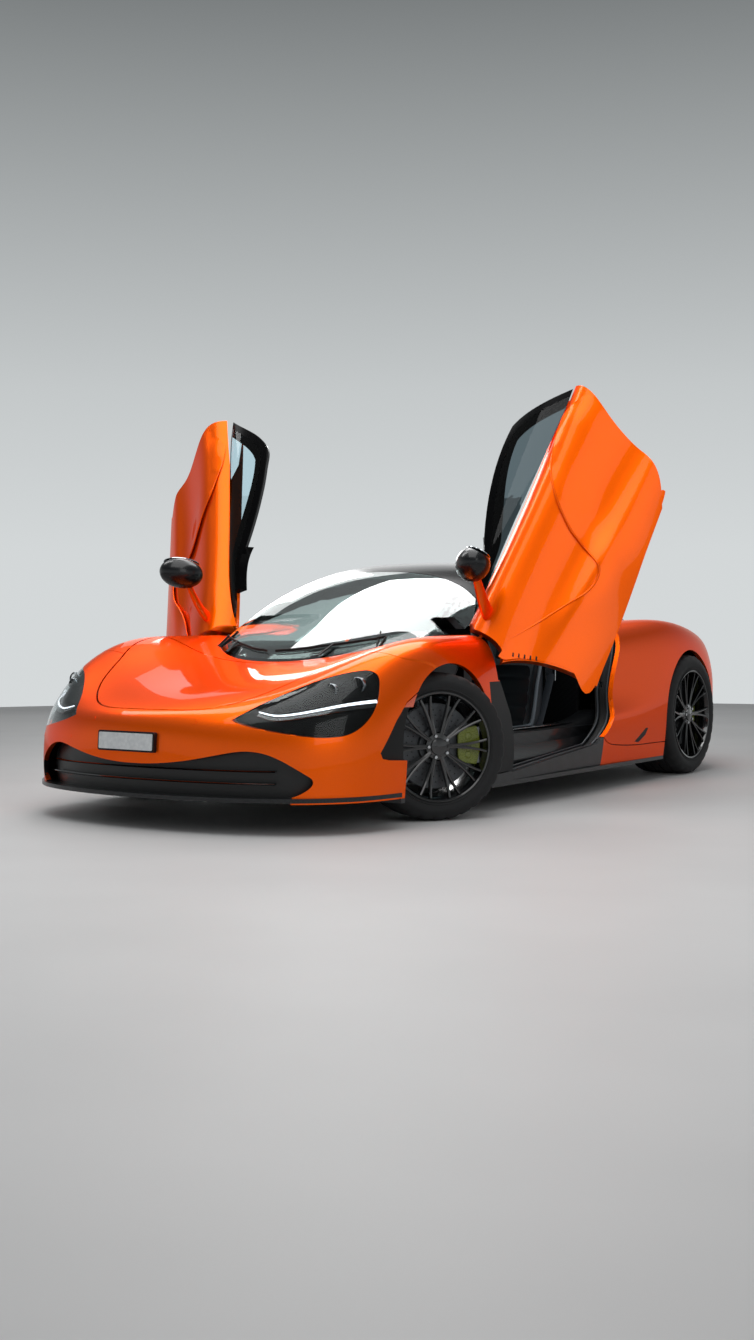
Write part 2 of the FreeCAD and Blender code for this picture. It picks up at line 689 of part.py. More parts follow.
keep("door_posts", pair(post))
keep("front_wings", pair(near(shell, 900, -1000, 800)))
keep("sills", pair(near(shell, 940, -200, 160)))
keep("rear_body", near(shell, 930, 1413, 760))
keep("rear_bumper", near(shell, 0, 2240, 400))
keep("headlamps", pair(biggest(lamp_layer.common(lamp_prism).cut(wells))))
vent_liner = lamp_front.cut(deep_one).common(vent_prism).cut([wells, well_drops, lamp_prism])
keep("vent_liners", pair(biggest(vent_liner)))
keep("side_lamps", pair(biggest(body_outer.cut(lamp_front).common(marker_prism).cut(wells))))
grille_zone = both(prism_y(MOUTH, -2400, -1850)).cut(box(-900, 900, -2500, -1000, 0, FLOOR_TOP + 25))
keep("mouth_grille", biggest(deep_one.cut(deep_two).common(grille_zone)))
tail_zone = both(prism_y(TAIL + [[(0, 742), (0, 585)]], 1950, 2500))
pipe_holes = both(Part.makeCylinder(size("exhaust_radius"), 500, V(115, 2000, 668), V(0, 1, 0)))


def stretched(segments, mid_z, wide, tall):
    return [[(x * wide, mid_z + (z - mid_z) * tall) for x, z in seg] for seg in segments]


TAIL_ALL = TAIL + [[(0, 742), (0, 585)]]
collar = both(prism_y(stretched(TAIL_ALL, 670, 1.02, 1.16), 1850, 2500))
collar = collar.cut(both(prism_y(stretched(TAIL_ALL, 670, 1.0, 1.0), 1850, 2500)))
collar = body_inner.cut(deep_two).common(collar)
tail_mesh = deep_one.cut(deep_two).common(tail_zone).cut(pipe_holes)
keep("tail_grille", biggest(tail_mesh.fuse(collar.cut(box(-900, 900, 0, 1960, 0, 1000)))))
keep("tail_lamps", pair(biggest(lamp_layer.common(prism_y(STRIP, 1950, 2500)))))
pipes = []
for name, radius_text, start_text, length_text in (
        ("pipe_outside", word("exhaust_radius"), word("pipe_front"), word("pipe_length")),
        ("pipe_bore", word("exhaust_radius") + " - " + word("pipe_wall"), word("pipe_front") + " + 35",
         word("pipe_length"))):
    tube = doc.addObject("Part::Cylinder", name)
    tube.Placement = FreeCAD.Placement(V(115, 1930, 668), FreeCAD.Rotation(V(1, 0, 0), -90))
    tube.setExpression("Radius", radius_text)
    tube.setExpression("Height", length_text)
    tube.setExpression("Placement.Base.x", word("pipe_spacing"))
    tube.setExpression("Placement.Base.y", start_text)
    tube.setExpression("Placement.Base.z", word("pipe_height"))
    pipes.append(tube)
hollow_pipe = doc.addObject("Part::Cut", "pipe_left")
hollow_pipe.Base = pipes[0]
hollow_pipe.Tool = pipes[1]
both_pipes = doc.addObject("Part::Compound", "exhaust_pipes")
both_pipes.Links = [hollow_pipe, mirror_of("pipe_right", hollow_pipe)]
keep_object("exhaust_pipes", both_pipes)

# Glass and roof above the belt line
crown = cabin_outer.cut(cabin_inner).cut([body_outer, both(door_hole)])
CROWN_LINES = [
    [(-480, 860), (-400, 1300)],
    [(405, 990), (480, 1300)],
    [(1020, 800), (1100, 1300)],
]
crown_cuts = [prism_x(smooth_band(pts, gap), -900, 900) for pts in CROWN_LINES]
crown = crown.cut(crown_cuts[0].fuse(crown_cuts[1:]))
keep("windscreen", near(crown, 0, -857, 960))
keep("roof_panel", near(crown, 0, 18, 1190))
keep("rear_glass", near(crown, 0, 750, 1150))
keep("engine_cover", near(crown, 0, 1374, 990))

# Cabin frame under the glass
WINDOWS = [
    [[(0, -1230), (300, -1200), (480, -1050), (560, -860), (470, -520)], [(470, -520), (0, -560)]],
    [[(0, -330), (300, -310)], [(300, -310), (330, 350)], [(330, 350), (0, 360)]],
    [[(0, 520), (330, 520)], [(330, 520), (380, 960)], [(380, 960), (0, 980)]],
    [[(0, 1140), (330, 1130)], [(330, 1130), (230, 1650)], [(230, 1650), (0, 1700)]],
]
frame = cabin_inner.cut(cabin_lining)
holes = [both(prism_z(seg, 500, 1400)) for seg in WINDOWS]
frame = frame.cut(holes + [both(door_hole)])
frame = frame.cut(box(-900, 900, -1500, -1235, 0, 2000))
frame = frame.cut(box(-900, 900, 1760, 2300, 0, 2000))
frame = frame.cut(box(-900, 900, -2300, 2300, 0, 640))
keep("cabin_frame", biggest(frame))

# Floor, splitter and tail
low = size("floor_height")
thick = size("splitter_thick")
RIM = [(0, -2271), (240, -2254), (470, -2208), (670, -2126), (800, -2025), (888, -1898), (932, -1750), (950, -1652)]
lip = both(prism_z([RIM, [RIM[-1], (0, -1652)]], FLOOR_TOP - thick + 25, FLOOR_TOP + 25))
lip = lip.cut([near(shell, 0, -2255, 450), both(front_well), both(front_drop)])
keep("splitter", biggest(lip))
plank = bound_box("floor_plank", ("-" + word("floor_half_width"), word("floor_half_width")),
                  (word("floor_front"), word("floor_rear")),
                  (word("floor_height"), word("floor_height") + " + " + word("floor_thick")))
arches = doc.addObject("Part::Feature", "wheel_arches")
arches.Shape = wells.fuse([well_drops])
floor = doc.addObject("Part::Cut", "floor")
floor.Base = plank
floor.Tool = arches
keep_object("floor", floor)
diffuser = prism_x(polygon([(1785, low), (1785, low + 15), (2262, 297), (2262, 283)]), -560, 560)
fins = []
for k in range(-3, 4):
    mid = 150 * k
    fin = prism_x(polygon([(1790, low + 4), (2180, 118), (2255, 200), (2262, 290), (1790, low + 12)]),
                  mid - size("fin_thick") / 2, mid + size("fin_thick") / 2)
    fins.append(fin)
diffuser = diffuser.fuse(fins + [both(box(548, 560, 1785, 2180, low, 118))])
keep("diffuser", biggest(diffuser.removeSplitter()))

# Tub, bulkheads, beams and engine
tub = both(box(640, 800, -700, 600, FLOOR_TOP, 180))
tub = tub.fuse([both(box(640, 800, -700, 600, 180, 330)),
                box(-600, 600, -1010, -985, FLOOR_TOP, 640),
                box(-640, 640, 575, 600, FLOOR_TOP, 840),
                box(-735, 735, 575, 600, 640, 785),
                both(box(640, 800, -715, -690, FLOOR_TOP, 330)),
                box(-700, 700, 600, 1000, FLOOR_TOP, 160)])
keep("tub", tub.removeSplitter().cut([frame, rear_well, flip(rear_well)]))
for end, run in (("front", ("front_beam_nose", "front_beam_tail")), ("rear", ("rear_beam_nose", "rear_beam_tail"))):
    tall = (word(end + "_beam_low"), word(end + "_beam_high"))
    rail = bound_box(end + "_rail", (word(end + "_beam_inner"), word(end + "_beam_outer")),
                     (word(run[0]), word(run[1])), tall)
    if end == "front":
        cross_run = (word(run[0]) + " - " + word("cross_depth"), word(run[0]))
    else:
        cross_run = (word(run[1]), word(run[1]) + " + " + word("rear_cross_depth"))
    cross = bound_box(end + "_cross", ("-" + word(end + "_cross_half"), word(end + "_cross_half")), cross_run, tall)
    keep_object(end + "_beams", fused(end + "_beams", [rail, mirror_of(end + "_rail_right", rail), cross]))

engine = padded_body("engine_block", oblong(270, word("engine_half_width"), 680, word("engine_front"),
                                            1500, word("engine_rear")), word("engine_low"), word("engine_high"))
keep_object("engine_block", engine)
boot = padded_body("front_boot_tub", oblong(330, word("boot_half_width"), -1900, word("boot_front"),
                                            -1420, word("boot_rear")), word("boot_low"), word("boot_high"))
wall_text = word("boot_wall")
well_outline = closed_sketch(boot, "boot_well_outline", 3, oblong(
    315, word("boot_half_width") + " - " + wall_text, -1885, word("boot_front") + " + " + wall_text,
    -1435, word("boot_rear") + " - " + wall_text))
well_outline.setExpression("AttachmentOffset.Base.z", word("boot_high"))
boot_well = boot.newObject("PartDesign::Pocket", "boot_well")
boot_well.Profile = well_outline
boot_well.setExpression("Length", "%s - %s - %s" % (word("boot_high"), word("boot_low"), wall_text))
well_outline.Visibility = False
boot.Tip = boot_well
keep_object("front_boot_tub", boot)

# Cabin furniture
dash = prism_x(polygon([(-980, 560), (-980, 740), (-700, 760), (-600, 700), (-640, 560)]), -590, 590)
console = padded_body("centre_console", oblong(95, word("console_half_width"), -600, word("console_front"),
                                               560, word("console_rear")),
                      word("floor_height") + " + " + word("floor_thick"), word("console_high"))
keep_object("centre_console", console)
half = size("seat_width") / 2
chairs = []
for side, tag in ((1, "left"), (-1, "right")):
    mid = side * size("seat_offset")
    seat_side = polygon([(-260, FLOOR_TOP), (-280, 330), (140, 270), (330, 830), (430, 800), (330, 400), (250, FLOOR_TOP)])
    chairs.append(prism_x(seat_side, mid - half, mid + half))
keep("chairs", Part.makeCompound(chairs))

# Steering wheel and column, left side of the car
wheel_spot = V(size("seat_offset"), -430, 665)
column = V(0, 0.93, 0.36)
column.normalize()
ring = Part.makeTorus(size("steering_wheel_radius"), 16, wheel_spot, column)
boss = Part.makeCylinder(50, 30, wheel_spot - column * 25, column)
bar = box(-170, 170, -12, 12, -20, -6)
bar.Placement = FreeCAD.Placement(wheel_spot, FreeCAD.Rotation(V(0, 0, 1), column))
shaft = Part.makeCylinder(18, 250, wheel_spot - column * 272, column)
keep("steering_wheel", ring.fuse([boss, bar, shaft]))
sleeve = Part.makeCylinder(18 + size("running_clear"), 400, wheel_spot - column * 380, column)
keep("dashboard", dash.cut(sleeve))


# Wheels, built on the axle line then placed
def ring_about_x(profile):
    pts = [V(x, 0, r) for x, r in profile]
    face = Part.Face(Part.makePolygon(pts + [pts[0]]))
    return face.revolve(V(0, 0, 0), V(1, 0, 0), 360)


def tyre(name, end, placement):
    """Closed ring turned from a bound half section, with sloped shoulders."""
    radius, width, rim_radius = (size(end + tail) for tail in ("_tyre_radius", "_tyre_width", "_rim_radius"))
    shoulder, inset, bead = size("tyre_shoulder"), size("bead_inset"), size("bead_height")
    w, w_text = width / 2, word(end + "_tyre_width") + " / 2"
    top, foot, edge = word(end + "_tyre_radius"), word(end + "_rim_radius"), word("tyre_shoulder")
    half = [(w - inset, w_text + " - " + word("bead_inset"), rim_radius, foot),
            (w, w_text, rim_radius + bead, foot + " + " + word("bead_height")),
            (w, w_text, radius - shoulder, top + " - " + edge),
            (w - 0.35 * shoulder, w_text + " - 0.35 * " + edge, radius - 0.35 * shoulder, top + " - 0.35 * " + edge),
            (w - shoulder, w_text + " - " + edge, radius, top)]
    other = [(-u, "-(%s)" % u_text, v, v_text) for u, u_text, v, v_text in reversed(half)]
    body = doc.addObject("PartDesign::Body", name)
    sketch = closed_sketch(body, name + "_section", 4, half + other)
    ring = body.newObject("PartDesign::Revolution", name + "_turn")
    ring.Profile = sketch
    ring.ReferenceAxis = (sketch, ["H_Axis"])
    ring.Angle = 360.0
    sketch.Visibility = False
    body.Tip = ring
    body.Placement = placement
    return body


def rim(radius, width, disc):
    w = width / 2 - 8
    t = size("rim_wall")
    bore = size("hub_radius") + size("running_clear")
    barrel = ring_about_x([(-w, radius), (w, radius), (w, radius - t), (-w, radius - t)])
    hub = tube_x(58, 0, 0, w - 60, w - 16)
    blades = []
    count = int(round(size("spoke_count")))
    for k in range(count):
        foot = prism_y([[(w - 45, 30), (w - 20, 30)], [(w - 20, 30), (w - 2, radius - t / 2)],
                        [(w - 2, radius - t / 2), (w - 22, radius - t / 2)], [(w - 22, radius - t / 2), (w - 45, 30)]], -10, 10)
        foot.rotate(V(0, 0, 0), V(1, 0, 0), 360.0 * k / count)
        blades.append(foot)
    inside = size("disc_offset")
    face = tube_x(disc, 0, 0, inside, inside + size("disc_thick"))
    hat = tube_x(80, 0, 0, inside, w - 40)
    wheel = barrel.fuse([hub, face, hat] + blades)
    return wheel.cut(tube_x(bore, 0, 0, 0, w - 30))


def placed(shape, side, x, y, z, steered):
    out = shape.copy()
    if side < 0:
        out = flip(out)
    if steered:
        out.rotate(V(0, 0, 0), V(0, 0, 1), -size("steer_angle"))
    out.translate(V(side * x, y, z))
    return out


front_rim = rim(size("front_rim_radius"), size("front_tyre_width"), size("disc_radius"))
rear_rim = rim(size("rear_rim_radius"), size("rear_tyre_width"), size("disc_radius"))
fx, rx = size("front_track") / 2, size("rear_track") / 2
fz, rz = size("front_tyre_radius"), size("rear_tyre_radius")
for side, tag in ((1, "left"), (-1, "right")):
    turned = FreeCAD.Rotation(V(0, 0, 1), -size("steer_angle"))
    spot = FreeCAD.Placement(V(side * fx, FRONT_AXLE_Y, fz), turned)
    keep_object("front_tyre_" + tag, tyre("front_tyre_" + tag, "front", spot))
    spot = FreeCAD.Placement(V(side * rx, REAR_AXLE_Y, rz), FreeCAD.Rotation())
    keep_object("rear_tyre_" + tag, tyre("rear_tyre_" + tag, "rear", spot))
    keep("front_rim_" + tag, placed(front_rim, side, fx, FRONT_AXLE_Y, fz, True))
    keep("rear_rim_" + tag, placed(rear_rim, side, rx, REAR_AXLE_Y, rz, False))


def upright(disc, reach):
    inside = size("disc_offset")
    outside = inside + size("disc_thick")
    clear = size("wheel_clear")
    stub = tube_x(size("hub_radius"), 0, 0, 0, reach)
    plate = box(-14, 18, -50, 50, -120, 120)
    caliper = box(6, outside + clear + 12, 110, 212, -80, 80)
    bridge = box(-14, 18, 40, 130, -55, 55)
    slot = tube_x(disc + clear, 0, 0, inside - clear, outside + clear).cut(
        tube_x(size("hub_radius"), 0, 0, 0, 120))
    pins = Part.makeCylinder(size("king_pin_radius"), 320, V(0, 0, -160))
    return stub.fuse([plate, caliper, bridge, pins]).cut(slot)


# Arms with eyes round the king pin
def arms(side, reach_in, track_half, y, z):
    parts = []
    king = size("king_pin_radius")
    for level in (-142, 142):
        arm = box(reach_in, track_half, y - 20, y + 20, z + level - 12, z + level + 12)
        arm = arm.fuse(Part.makeCylinder(king + 9, 24, V(track_half, y, z + level - 12)))
        eye = Part.makeCylinder(king + size("running_clear"), 60, V(track_half, y, z + level - 30))
        parts.append(arm.cut(eye))
    post = box(reach_in - 30, reach_in, y - 60, y + 60, z - 160, z + 160)
    parts.append(post)
    whole = parts[0].fuse(parts[1:])
    return whole if side > 0 else flip(whole)


front_upright = upright(size("disc_radius"), 82)
rear_upright = upright(size("disc_radius"), 112)
for side, tag in ((1, "left"), (-1, "right")):
    keep("front_upright_" + tag, placed(front_upright, side, fx, FRONT_AXLE_Y, fz, True))
keep("rear_uprights", pair(placed(rear_upright, 1, rx, REAR_AXLE_Y, rz, False)))
keep("front_arms", pair(arms(1, 500, fx, FRONT_AXLE_Y, fz)))
keep("rear_arms", pair(arms(1, 450, rx, REAR_AXLE_Y, rz)))


doc.recompute()
for obj in doc.Objects:
    if "Invalid" in obj.State or "Error" in obj.State:
        raise RuntimeError("not solved: " + obj.Name)
os.makedirs("parts", exist_ok=True)
for node in NODES:
    if node.Shape.isNull() or not node.Shape.isValid():
        raise RuntimeError("not valid: " + node.Label)
    node.Shape.exportStep("parts/%s.step" % node.Label)
print(len(NODES), "nodes")
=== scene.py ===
import math
import bmesh
import bpy
import numpy as np
from mathutils import Matrix, Vector
from mathutils.bvhtree import BVHTree
from mathutils.geometry import delaunay_2d_cdt


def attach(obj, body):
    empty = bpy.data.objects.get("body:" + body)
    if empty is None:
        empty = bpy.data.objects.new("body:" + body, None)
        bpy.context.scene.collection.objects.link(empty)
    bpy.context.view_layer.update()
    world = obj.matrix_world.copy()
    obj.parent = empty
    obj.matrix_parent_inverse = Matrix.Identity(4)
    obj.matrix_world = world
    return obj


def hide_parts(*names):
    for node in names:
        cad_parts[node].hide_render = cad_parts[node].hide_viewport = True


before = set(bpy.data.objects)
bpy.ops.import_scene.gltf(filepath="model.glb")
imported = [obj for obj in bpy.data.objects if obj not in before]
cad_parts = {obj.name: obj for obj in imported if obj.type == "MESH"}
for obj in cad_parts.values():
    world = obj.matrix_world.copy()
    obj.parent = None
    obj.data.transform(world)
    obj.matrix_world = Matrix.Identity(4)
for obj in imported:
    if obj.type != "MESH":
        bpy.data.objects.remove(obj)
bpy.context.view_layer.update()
MM = 0.001


# Finishes

def hexed(text):
    """sRGB hex to linear RGBA."""
    out = []
    for k in (1, 3, 5):
        v = int(text[k:k + 2], 16) / 255
        out.append(v / 12.92 if v <= 0.04045 else ((v + 0.055) / 1.055) ** 2.4)
    return tuple(out) + (1.0,)


def node(mat, kind, inputs=None, stops=(), **settings):
    """Adds one node with its settings, colour stops, values and links. A node links by its first output."""
    made = mat.node_tree.nodes.new(kind)
    for word, value in settings.items():
        setattr(made, word, value)
    for k, (place, colour) in enumerate(stops):
        bar = made.color_ramp.elements
        stop = bar[k] if k < len(bar) else bar.new(place)
        stop.position = place
        stop.color = hexed(colour)
    for socket, value in (inputs or {}).items():
        if isinstance(value, bpy.types.Node):
            value = value.outputs[0]
        if isinstance(value, bpy.types.NodeSocket):
            mat.node_tree.links.new(value, made.inputs[socket])
        else:
            made.inputs[socket].default_value = value
    return made


def started(name):
    """A new material, and its object coordinates."""
    mat = bpy.data.materials.new(name)
    mat.use_nodes = True
    mat.node_tree.nodes.clear()
    return mat, node(mat, "ShaderNodeTexCoord").outputs["Object"]


def close(mat, shader):
    node(mat, "ShaderNodeOutputMaterial", {"Surface": shader})
    return mat


def surface(name, dark, light, grain_mm, rough, metal=0.0, coat=0.0, coat_rough=0.03, ior=1.5, bump=0.1,
            stretch=(1, 1, 1), sheen=0.0):
    """Two close tones mottled at grain_mm, with a bump of the same scale."""
    mat, place = started(name)
    place = node(mat, "ShaderNodeMapping", {"Vector": place, "Scale": stretch})
    grain = node(mat, "ShaderNodeTexNoise", {"Vector": place, "Scale": 1000.0 / grain_mm, "Detail": 3.0})
    colour = node(mat, "ShaderNodeValToRGB", {"Fac": grain}, [(0.3, dark), (0.7, light)])
    span = node(mat, "ShaderNodeMapRange", {"Value": grain, "To Min": rough * 0.8,
                                            "To Max": min(1.0, rough * 1.2)})
    relief = node(mat, "ShaderNodeBump", {"Height": grain, "Strength": bump, "Distance": grain_mm * MM * 0.3})
    shader = node(mat, "ShaderNodeBsdfPrincipled", {
        "Base Color": colour, "Roughness": span, "Metallic": metal, "IOR": ior, "Coat Weight": coat,
        "Coat Roughness": coat_rough, "Sheen Weight": sheen, "Normal": relief})
    return close(mat, shader)


def pearl_paint():
    """Sprayed pearl orange under a polished clear coat: saturated face on, with painted shade that turns the
    base colour deeper and redder where the surface turns away from the view.
    """
    mat, place = started("orange_pearl_lacquer")
    painted_shade_factor = node(mat, "ShaderNodeLayerWeight", {"Blend": 0.35}).outputs["Facing"]
    # Mica flakes are 0.05 mm, drawn at 1.6 mm to show at all
    flake = node(mat, "ShaderNodeTexVoronoi", {"Vector": place, "Scale": 620.0})
    spark = node(mat, "ShaderNodeMapRange", {"Value": flake, "To Min": 0.9, "To Max": 1.06})
    # Painted shade: the base colour darkens from #ff6200 face on to #ee5800 where the surface turns away
    base = node(mat, "ShaderNodeValToRGB", {"Fac": painted_shade_factor},
                [(0.0, "#ff6200"), (0.45, "#ff5e00"), (1.0, "#ee5800")])
    lit = node(mat, "ShaderNodeHueSaturation", {"Color": base, "Value": spark})
    # Lacquer peel has waves of about 4 mm
    peel = node(mat, "ShaderNodeTexNoise", {"Vector": place, "Scale": 250.0, "Detail": 1.0})
    relief = node(mat, "ShaderNodeBump", {"Height": peel, "Strength": 0.02, "Distance": 0.0004})
    shader = node(mat, "ShaderNodeBsdfPrincipled", {
        "Base Color": lit, "Metallic": 0.85, "Roughness": 0.38, "IOR": 1.3, "Specular Tint": hexed("#ff9a3c"),
        "Coat Weight": 0.4, "Coat Roughness": 0.025, "Coat IOR": 1.4, "Normal": relief,
        "Coat Normal": relief})
    return close(mat, shader)


def carbon_weave():
    """Twill carbon in resin: 2 mm tows drawn at 7 mm, glossy over dark checks."""
    mat, place = started("carbon_twill")
    turned = node(mat, "ShaderNodeMapping", {"Vector": place, "Rotation": (0.3, 0.4, math.pi / 4)})
    check = node(mat, "ShaderNodeTexChecker", {"Vector": turned, "Scale": 140.0, "Color1": hexed("#0b0c0e"),
                                               "Color2": hexed("#1d1f22")})
    tow = node(mat, "ShaderNodeTexWave", {"Vector": turned, "Scale": 300.0}).outputs["Fac"]
    relief = node(mat, "ShaderNodeBump", {"Height": tow, "Strength": 0.08, "Distance": 0.0003})
    shader = node(mat, "ShaderNodeBsdfPrincipled", {
        "Base Color": check, "Roughness": 0.35, "IOR": 1.35, "Coat Weight": 0.35, "Coat Roughness": 0.06,
        "Normal": relief})
    return close(mat, shader)


def clear(name, tint, haze_mm, ior, coat=0.0):
    """Clear moulded or float material with a faint waviness."""
    mat, place = started(name)
    wave = node(mat, "ShaderNodeTexNoise", {"Vector": place, "Scale": 1000.0 / haze_mm, "Detail": 1.0})
    relief = node(mat, "ShaderNodeBump", {"Height": wave, "Strength": 0.01, "Distance": 0.0005})
    shader = node(mat, "ShaderNodeBsdfPrincipled", {
        "Base Color": hexed(tint), "Roughness": 0.0, "IOR": ior, "Transmission Weight": 1.0,
        "Coat Weight": coat, "Coat Roughness": 0.0, "Normal": relief})
    return close(mat, shader)


def glowing(name, colour, strength, base):
    """Diffuser strip with its diodes on: brighter spots 12 mm apart under a milky cover."""
    mat, place = started(name)
    spots = node(mat, "ShaderNodeTexVoronoi", {"Vector": place, "Scale": 80.0})
    gain = node(mat, "ShaderNodeMapRange", {"Value": spots, "From Max": 0.6, "To Min": strength,
                                            "To Max": strength * 0.6})
    shader = node(mat, "ShaderNodeBsdfPrincipled", {
        "Base Color": hexed(base), "Roughness": 0.2, "Coat Weight": 1.0, "Emission Color": hexed(colour),
        "Emission Strength": gain})
    return close(mat, shader)


PAINT = pearl_paint()
CARBON = carbon_weave()
# Two-part black lacquer over moulded composite: deep and mirror-like
BLACK_GLOSS = surface("black_lacquer", "#050506", "#0a0a0c", 3.0, 0.12, coat=1.0, coat_rough=0.02, bump=0.01)
# Blue-black lacquer of the mirror pods, under less clear coat
POD_BLACK = surface("blue_black_lacquer", "#06080b", "#0b0e12", 4.0, 0.28, ior=1.35, coat=0.25,
                    coat_rough=0.05, bump=0.01)
# Smoked roof glass, dark and only faintly glossy at a glance
ROOF_BLACK = surface("smoked_roof_glass", "#040405", "#08090a", 6.0, 0.2, ior=1.12, bump=0.01)
# Textured polypropylene from the mould: dull with fine pimples
SATIN = surface("black_polypropylene", "#060707", "#0d0e10", 1.2, 0.5, ior=1.35, bump=0.25)
# Dip-primed steel on hidden sides: even and dull
PRIMER = surface("black_primer", "#08080a", "#121214", 4.0, 0.6, bump=0.1)
# Tempered and laminated float glass with a green grey cast
GLASS = clear("laminated_glass", "#b9cfcc", 60.0, 1.5, coat=0.6)
TINTED = clear("privacy_glass", "#38464a", 60.0, 1.3)
DOOR_GLASS = clear("tinted_door_glass", "#414c50", 60.0, 1.25)
# Hard-coated polycarbonate lens: very clear with a sharp highlight
LENS = clear("lamp_polycarbonate", "#eef3f4", 40.0, 1.2)
# Vulcanised rubber with carbon black: matt, a little grey on the shoulder
RUBBER = surface("tyre_rubber", "#0a0a0b", "#17181a", 2.0, 0.75, bump=0.2)
SEAL = surface("extruded_seal_rubber", "#1a2026", "#262e36", 1.5, 0.45, bump=0.1)
# Forged aluminium under gloss black powder coat
WHEEL_BLACK = surface("black_powder_coat", "#060607", "#0c0c0e", 1.5, 0.2, coat=0.9, coat_rough=0.05,
                      bump=0.03)
# Cast aluminium left bare after tumbling: grey with a soft gleam
CAST = surface("tumbled_aluminium", "#7d8083", "#9a9da0", 3.0, 0.42, metal=1.0, bump=0.2)
BRIGHT = surface("polished_aluminium", "#c9cbce", "#dfe1e3", 8.0, 0.14, metal=1.0, bump=0.01)
# Heat-stained stainless pipe: straw at the tip
STAINLESS = surface("heat_stained_stainless", "#8d8478", "#b7aa98", 12.0, 0.22, metal=1.0, bump=0.03)
IRON = surface("sand_cast_iron", "#232426", "#37393c", 4.0, 0.62, metal=0.6, bump=0.4)
# Carbon-ceramic disc, ground: mid grey with turned rings
CERAMIC = surface("ground_carbon_ceramic", "#3f4144", "#5c5f62", 2.5, 0.4, metal=0.5, bump=0.15)
# Baked enamel over the caliper casting: acid yellow green
CALIPER = surface("yellow_green_enamel", "#5f6a0c", "#7c8614", 5.0, 0.28, coat=0.6, bump=0.05)
# Brushed microfibre suede: dark blue grey with a nap
SUEDE = surface("microfibre_suede", "#14181c", "#20262c", 2.2, 0.9, bump=0.4, sheen=0.4)
# Corrected-grain leather, grain cells near 2 mm
LEATHER = surface("grained_leather", "#1b2025", "#2a3138", 2.0, 0.46, bump=0.35)
PALE_LEATHER = surface("pale_grained_leather", "#6f7880", "#88929b", 2.0, 0.5, bump=0.35)
CARPET = surface("tufted_carpet", "#0d0f11", "#1d2023", 3.0, 0.95, bump=0.7, sheen=0.3)
WEBBING = surface("nylon_webbing", "#1c242c", "#2c3640", 1.5, 0.7, bump=0.5, stretch=(1, 1, 6))
PLATE = surface("painted_plate", "#c9cdcf", "#dde0e1", 20.0, 0.35, bump=0.02)
MESH_BLACK = surface("moulded_mesh", "#070808", "#101113", 2.0, 0.4, bump=0.1)
CHROME = surface("mirror_silvering", "#d5dbe0", "#e4e9ed", 40.0, 0.02, metal=1.0, bump=0.0)
# Moulded lamp housing under the cover: near black, soft gloss
LAMP_BOWL = surface("lamp_housing", "#020203", "#060607", 3.0, 0.35, ior=1.2, bump=0.05)
RED_LENS = surface("red_acrylic", "#5a0404", "#7d0808", 6.0, 0.12, coat=1.0, bump=0.02)
AMBER = surface("amber_acrylic", "#c33a06", "#e2540c", 6.0, 0.15, coat=1.0, bump=0.02)
REFLECTOR = surface("vapour_coated_reflector", "#4e5357", "#8e9499", 9.0, 0.18, metal=1.0, bump=0.05)
DAY_LIGHT = glowing("daylight_strip", "#f2f7ff", 2.6, "#f5f7fa")
TAIL_GLOW = glowing("tail_strip", "#ff1408", 1.2, "#c00a06")
SCREEN = glowing("display_glass", "#203848", 0.25, "#05080b")

# The slot that each finish fills, where a piece names no other
SLOTS = {
    "orange_paint": (PAINT,), "carbon_tub": (CARBON,), "rim_black": (WHEEL_BLACK,), "lamp_amber": (AMBER,),
    "black_gloss": (BLACK_GLOSS, POD_BLACK, ROOF_BLACK, SCREEN),
    "black_satin": (SATIN, MESH_BLACK, PLATE, PRIMER),
    "clear_glass": (GLASS, TINTED, DOOR_GLASS, LENS, CHROME), "rubber": (RUBBER, SEAL),
    "aluminium": (BRIGHT, STAINLESS, CERAMIC, CALIPER), "leather": (LEATHER, PALE_LEATHER),
    "trim": (SUEDE, WEBBING, CARPET), "lamp_black": (DAY_LIGHT, REFLECTOR), "lamp_red": (RED_LENS, TAIL_GLOW),
}
SLOT_OF = {finish.name: slot for slot, many in SLOTS.items() for finish in many}


